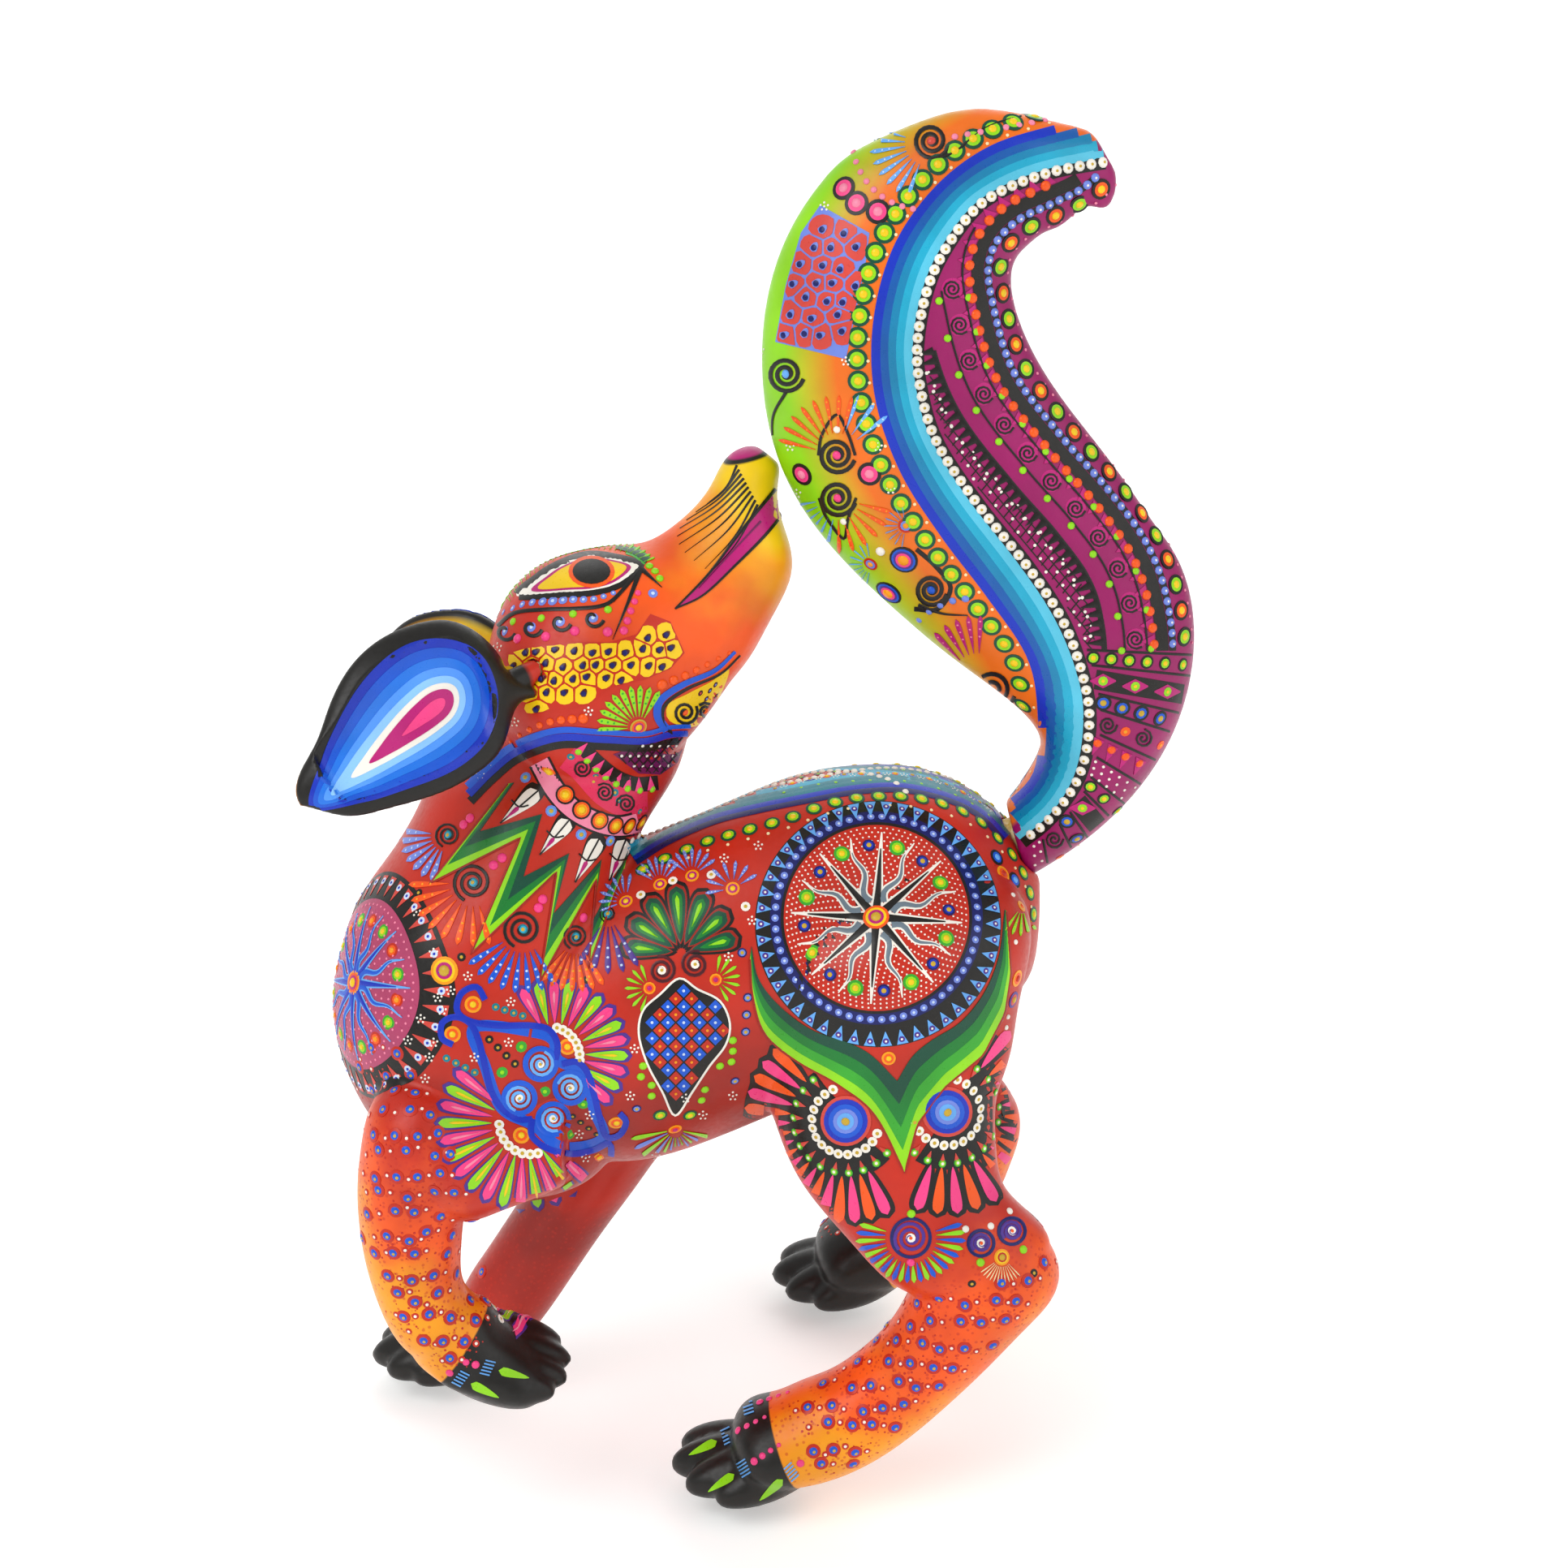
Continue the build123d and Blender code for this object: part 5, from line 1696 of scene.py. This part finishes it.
def paint_hip_medallion(brush):
    """Eight black and eight wavy grey rays on stippled red, in rings of dots and blue triangles."""
    disc = Brush(brush.paint, shifted_sheet(brush.sheet, HIP), brush.surface)
    disc.disc(HIP_RIM, 28.8, "black", 0.8, 1.9)
    disc.disc((0, 0), 24.9, "navy", 1.4, 1.9)
    disc.disc((0, 0), 22.4, "black", 1.9, 1.9)
    disc.disc((0, 0), 21.7, "red", 2.4, 1.9)
    for ring in range(18):
        count = 8 + 5 * ring
        for k in range(count):
            disc.dot(polar((0, 0), 4 + ring, 360 * k / count + 37 * ring), 0.24, "white", 2.6)
    rays(disc, 8, 2, 20, ("white", "black"), 3.0, 0.0, -3.5, 3.6)
    rays(disc, 8, 4, 19.5, ("white", "grey"), 2.4, 1.15, 19, 3.4)
    disc.target((0, 0), 3.0, ["orange", "yellow", "magenta", "gold"], 6)
    for k in range(16):
        names = ("leaf", "lime", "yellow") if k % 2 else ("navy", "royal", "gold")
        disc.target(polar((0, 0), 17.0, 22.5 * k + 6), 1.85 if k % 2 else 1.5, names, 4)
    for k in range(HIP_BEADS):
        disc.target(polar((0, 0), 23.7, 360 * k / HIP_BEADS), 0.85, ["periwinkle", "ice"], 2)
    for k in range(HIP_TEETH):
        turn = 360 * k / HIP_TEETH
        tooth = straight_line([polar(HIP_RIM, 28.5, turn), polar(HIP_RIM, 25.2, turn)], STEP)
        disc.stroke(tooth, 2.7, "sky", 2.4, 1.0, 0.05)
        disc.target(polar(HIP_RIM, 27.4, turn), 0.72, ["violet", "white"], 3.1)


def shifted_sheet(sheet, spot):
    """The same sheet with its middle at a place on it."""
    middle = sheet.middle + sheet.across * (spot[0] * MM) + sheet.up * (spot[1] * MM)
    return Sheet(middle, sheet.across, sheet.up, sheet.out, sheet.eye)


def paint_owl(brush):
    """The green collar and the two round eyes over fans of petals."""
    edge = resampled(smooth_line(COLLAR_EDGE[:7], 0.8),
                     40) + resampled(straight_line(COLLAR_EDGE[6:], 0.8), 40)[1:]
    inner = resampled(smooth_line(COLLAR_INNER[:7], 0.8),
                      40) + resampled(smooth_line(COLLAR_INNER[6:], 0.8), 40)[1:]
    greens = ["forest", "green", "leaf", "lime"]
    collar = inner + list(reversed(edge))

    def clear(spot):
        return not inside(spot, collar) and math.dist(spot, HIP) > 30

    for (centre, _, _), petals in zip(OWL_EYES, OWL_PETALS):
        first, last, count, low, high = petals
        for k, angle in enumerate(spread(first, last, count)):
            if clear(polar(centre, 18, angle)) and low < polar(centre, 25, angle)[0] < high:
                brush.spoke(centre, 12, 25, angle, 5.9, "black", 0.6, 0.45)
                brush.spoke(centre, 13, 24, angle, 3.3, ("pink", "orange")[k % 2], 1.4, 0.6)
        brush.patch([spot for spot in ellipse(centre, 13.6, 13.6, 44) if clear(spot)], "black", 1.3, 2.0)
    for index, name in enumerate(greens):
        first, last = index / len(greens), (index + 1) / len(greens)
        a, b = between(inner, edge, first), between(inner, edge, last)
        brush.patch(a + list(reversed(b)), name, 2.2 + 0.3 * index, 1.6)
    brush.stroke(edge, 0.5, "deep_red", 3)
    brush.target((24.5, -64.2), 1.6, ["amber", "orange", "yellow"], 2)
    for centre, first, last in OWL_EYES:
        for angle in spread(first, last, EYE_BEADS):
            brush.target(polar(centre, 7.9, angle), 1.15, ["white", "gold"], 2.4)
            if clear(polar(centre, 12.6, angle)):
                brush.stroke(straight_line([polar(centre, 12.4, angle), polar(centre, 9.9, angle)], 0.8),
                             1.7, "coral", 2, 1.0, 0.05)
                brush.target(polar(centre, 12.2, angle), 0.95, ["leaf", "lime", "white"], 2.6)
        for index, (name, radius) in enumerate(OWL_IRIS):
            brush.disc(centre, radius, name, 2.4 + 0.8 * index, 1.3)
        brush.dot(centre, 1.0, "gold", 7, 0.3)


def paint_knee(brush):
    """Purple spirals with leaves of lime and blue, above the plain lower leg."""
    knee = (29.7, -106.2)
    for k in range(24):
        angle = 165 + 210 * k / 23
        brush.petal(polar(knee, 6, angle), polar(knee, 13 - 2.5 * abs(math.sin(math.radians(angle))),
                                                 angle), 1.5, ("lime", "blue")[k % 2])
    for spot, radius in ((knee, 4.5), ((46.1, -107.5), 3.0), ((53.3, -104.7), 3.1)):
        brush.ring(spot, radius, 0.8, "navy", 1.6)
        brush.spiral(spot, radius - 0.6, "violet", 0.8, 2.4, 80, 1, 2.4)
        brush.target(spot, 1.1, ["white", "orange"], 3)
    for spot, name in (((29.7, -112), "pink"), ((29.8, -100.6), "lime"), ((46, -112), "lime"),
                       ((56, -109), "lime")):
        brush.dot(spot, 1.0, name)
    brush.target((51, -110.8), 1.9, ["amber", "yellow", "red", "gold"])
    for k in range(12):
        brush.spoke((51, -110.8), 2.2, 6, 215 + 9 * k, 0.4, "cream")
    brush.dots(((42.5, -104.2), (48.4, -103.5), (52.8, -100)), 0.85, "white")
    brush.targets(((44, -117), (58.5, -114.5)), 1.0, ["black", "gold"])


def paint_rump(brush):
    """Small targets and fans behind the medallion."""
    for spot, names in (((49.8, -17.2), ["black", "blue", "sky"]),
                        ((54, -22.5), ["black", "blue", "sky"]),
                        ((51.3, -21), ["amber", "orange", "red"]),
                        ((54.6, -45.5), ["amber", "orange", "red"]),
                        ((53.7, -50.5), ["violet", "coral", "gold"])):
        brush.target(spot, 2.0, names)
    fan(brush, (55.6, -28.6), 1.8, 7, 235, 300, 5, "lime", 1.0, "yellow")
    brush.target((55.6, -28.6), 1.4, ["amber", "orange"])
    brush.dots(((53.6, -26), (54.2, -37), (52.4, -54.5), (52, -57)), 0.6, "white")


# ------------------------------------------------------------------ the legs' and paws' paint
SHANK = [(19, -122), (29, -119), (40, -119), (50, -117), (62, -108), (65.5, -114), (59, -121.5),
         (50.8, -130), (38, -142), (24, -153.5), (11, -165), (5, -156), (1, -143.5), (10, -138),
         (20, -130)]
RAISED_LEG = [(-100, -62), (-92, -58), (-84.7, -69), (-78, -84), (-72.5, -100), (-70, -116), (-68.4, -127),
              (-78, -139.5), (-86, -133), (-93, -121), (-99, -108), (-101.5, -92), (-102.3, -75)]


def spots(brush, outline, gap, seed):
    """Blue spots in red rings, each with a small gold dot set off its middle that is a painted highlight,
    and small white points between them.
    """
    chance = random.Random(seed)
    low, high = extent(outline)
    row = 0
    y = low[1]
    while y < high[1]:
        x = low[0] + gap * 0.5 * (row % 2)
        while x < high[0]:
            spot = (x + chance.uniform(-0.22, 0.22) * gap, y + chance.uniform(-0.22, 0.22) * gap)
            other = (spot[0] + gap * 0.5, spot[1] + gap * chance.uniform(-0.15, 0.15))
            if inside(spot, outline):
                brush.dot(spot, 1.75, "red", 0.6, 0.1)
                brush.dot(spot, 1.1, "blue", 1.4, 0.3)
                # the small gold dot set off the middle of each blue spot is a painted highlight: the glint
                # on the raised dot
                brush.dot((spot[0] + 0.15, spot[1] - 0.1), 0.42, "gold", 4.5, 0.4)
            if inside(other, outline):
                brush.dot(other, 0.85, "red", 0.6, 0.15)
                brush.dot(other, 0.4, "white", 2, 0.4)
                for k in range(5):
                    brush.dot(polar(other, chance.uniform(1.3, 2.6), 72 * k + chance.uniform(-20, 20)),
                              chance.uniform(0.18, 0.34), "red", 0.6, 0.2)
            x += gap
        y += gap * 0.86
        row += 1


def paint_toe(brush, tip, root, dots):
    """A lime claw at a toe's tip, hatching behind it and pink dots up the paw."""
    length = math.dist(tip, root)
    way = ((root[0] - tip[0]) / length, (root[1] - tip[1]) / length)

    def at(reach, aside=0.0):
        return (tip[0] + way[0] * reach - way[1] * aside, tip[1] + way[1] * reach + way[0] * aside)

    brush.petal(at(-0.3), at(7.0), 2.6, "lime", 1, 0.6)
    for k in range(5):
        brush.line([at(8.2 + 0.15 * k, -1.6 + 0.8 * k), at(10.6 + 0.15 * k, -1.6 + 0.8 * k)], 0.35, "sky")
    for k in range(dots):
        brush.dot(at(12.6 + 2.3 * k), 0.95 - 0.14 * k, "pink")


PAWS_NEAR = [((-17.5, -149), (2, -142), 4), ((-22, -157), (-2, -147), 4), ((-17.5, -165.5), (3, -152), 4),
             ((-5.5, -167.5), (5, -158), 1), ((-67, -143.5), (-78, -138), 1), ((-60, -139), (-72, -136), 2)]


def paint_leg_side(brush, far):
    spots(brush, SHANK, 5.6, 3)
    if far:
        return
    spots(brush, RAISED_LEG, 5.6, 4)
    for tip, root, dots in PAWS_NEAR:
        paint_toe(brush, tip, root, dots)


def paint_body():
    """The paint of the neck, chest, flank, hips and legs, region by region, on both sides."""
    regions = {
        "neck": ("painted_body", (paint_collar, paint_neck, paint_chest_medallion)),
        "shoulder": ("painted_body", (paint_shoulder,)),
        "flank": ("painted_body", (paint_spine, paint_flank)),
        "hip": ("painted_legs", (paint_hip_medallion, paint_owl, paint_knee, paint_rump)),
    }
    for region, (finish, steps) in regions.items():
        for sheet, label in zip(SIDES, SIDE_LABELS):
            paint = Paint(region + "_paint_" + label, "body", finish)
            for step in steps:
                step(Brush(paint, sheet, body_surface))
            if region == "flank" and label == "right":
                paint_crest(paint)
            paint.make()
    for sheet, label in zip(SIDES, SIDE_LABELS):
        paint = Paint("leg_paint_" + label, "body", "painted_legs")
        paint_leg_side(Brush(paint, sheet, body_surface), label == "left")
        paint.make()


# ------------------------------------------------------------------ dressing the carved pieces
def ear_face(side):
    """The middle of an ear and the way that its painted dish looks."""
    piece = ear_skins[side]
    points = np.array([v.co for v in piece.data.vertices])
    middle = points.mean(0)
    _, _, axes = np.linalg.svd(points - middle, full_matrices=False)
    outward = Vector(axes[2])
    toward = Vector((0, -1 if side == "right_ear" else 1, 0.3))
    if outward.dot(toward) < 0:
        outward = -outward
    return Vector(middle), outward


mark_band_side(tail_skin)
dress(skins["torso"], "body", torso_material(), ["torso"])
dress(skins["head"], "body", head_material(), ["head"])
LEG_COATS = {"front_left_leg": ((0.7, 0, 0.7),
                                [(-0.05, "amber"), (-0.02, "amber"), (0.0, "orange"), (0.02, "red")],
                                (-0.074, -0.045, 0.036), (0.8, 0, -0.55)),
             "front_right_leg": ((0.3, 0, 1), [(-0.02, "red"), (0.03, "deep_red"), (0.05, "red")],
                                 (-0.07, 0.01, 0.019), (-0.45, 0, -0.9)),
             "rear_left_leg": ((0.4, 0, -1), [(-0.14, "red"), (-0.05, "red"), (-0.024, "orange"),
                                              (0.0, "amber")], (0.004, -0.05, 0.018), (-0.92, 0, -0.35)),
             "rear_right_leg": ((0.25, 0, -1), [(-0.14, "red"), (-0.05, "red"), (-0.035, "orange"),
                                                (-0.015, "amber")], (0.03, 0.045, 0.02),
                                (-0.92, 0, -0.35)),}
for name, (direction, stops, point, paw_direction) in LEG_COATS.items():
    dress(skins[name], "body",
          leg_material(name + "_coat", direction, stops, point, paw_direction), [name])
dress(tail_skin, "tail", tail_material(), ["tail"])
for side, piece in ear_skins.items():
    middle, outward = ear_face(side)
    pull, centre, inner_end = peg_line(side)
    root = centre + pull * (inner_end + EAR_ROOT_SHOWS)
    coat = ear_material(side + "_coat", middle - outward * EAR_FRONT_DEPTH, outward, root, -pull)
    dress(piece, side, coat, [side])
wood = bare_wood()
for side in ear_skins:
    dress(turned_peg(side), side, wood, [side + "_peg"])
for name, node in frame["nodes"].items():
    if name == "tail_peg" or "dowel" in name:
        node.data.materials.clear()
        node.data.materials.append(wood)

paint_tail()
paint_head()
paint_body()
paint_ear("right_ear", near_side)
paint_ear("left_ear", far_side)


# ------------------------------------------------------------------ floor, light and camera
def stage_floor():
    """A pale sweep: a floor that curves up behind the figure."""
    profile = [(-2.5, 0.0), (1.2, 0.0), (1.75, 0.08), (2.2, 0.3), (2.6, 0.8), (2.8, 1.6), (2.85, 3.0)]
    rows = smooth_line(profile, 0.08)
    mesh = bmesh.new()
    columns = [-4.0 + 8.0 * k / 16 for k in range(17)]
    grid = [[mesh.verts.new((x, y, z - 0.0001)) for x in columns] for y, z in rows]
    for low, high in zip(grid, grid[1:]):
        for k in range(len(columns) - 1):
            mesh.faces.new((low[k], low[k + 1], high[k + 1], high[k]))
    data = mesh_data("studio_floor", mesh)
    data.shade_smooth()
    floor = new_object("studio_floor", data)
    nodes = Nodes("studio_paper")
    place = nodes.object_place()
    nodes.shader.inputs["Base Color"].default_value = (0.9, 0.9, 0.89, 1.0)
    nodes.shader.inputs["Emission Color"].default_value = (1.0, 1.0, 0.99, 1.0)
    nodes.shader.inputs["Emission Strength"].default_value = 0.28
    nodes.link(nodes.span(nodes.noise(place, 30.0), 0.3, 0.7, 0.75, 0.9), nodes.shader.inputs["Roughness"])
    data.materials.append(nodes.material)


def area_light(name, place, size, power, tint=(1.0, 1.0, 1.0)):
    data = bpy.data.lights.new(name, "AREA")
    data.shape = "RECTANGLE"
    data.size = data.size_y = size
    data.energy = power
    data.color = tint
    light = new_object(name, data)
    light.location = place
    light.rotation_euler = (MIDDLE - Vector(place)).to_track_quat("-Z", "Y").to_euler()


stage_floor()
area_light("key_light", (-0.9, -1.0, 1.3), 1.2, 15.0)
area_light("fill_light", (1.2, -0.8, 0.8), 1.4, 6.0)
area_light("back_light", (0.2, 1.3, 1.4), 1.6, 8.0)
world = bpy.data.worlds.new("studio")
bpy.context.scene.world = world
world.use_nodes = True
world.node_tree.nodes["Background"].inputs["Color"].default_value = (1.0, 1.0, 1.0, 1.0)
world.node_tree.nodes["Background"].inputs["Strength"].default_value = 0.62
bpy.context.scene.view_settings.view_transform = "Standard"

camera_data = bpy.data.cameras.new("camera")
camera_data.lens = LENS
camera_data.sensor_width = SENSOR_WIDTH
camera = new_object("camera", camera_data)
camera.location = near_side.eye
camera.rotation_euler = (math.pi / 2 - LOOK_DOWN, 0, 0)
bpy.context.scene.camera = camera
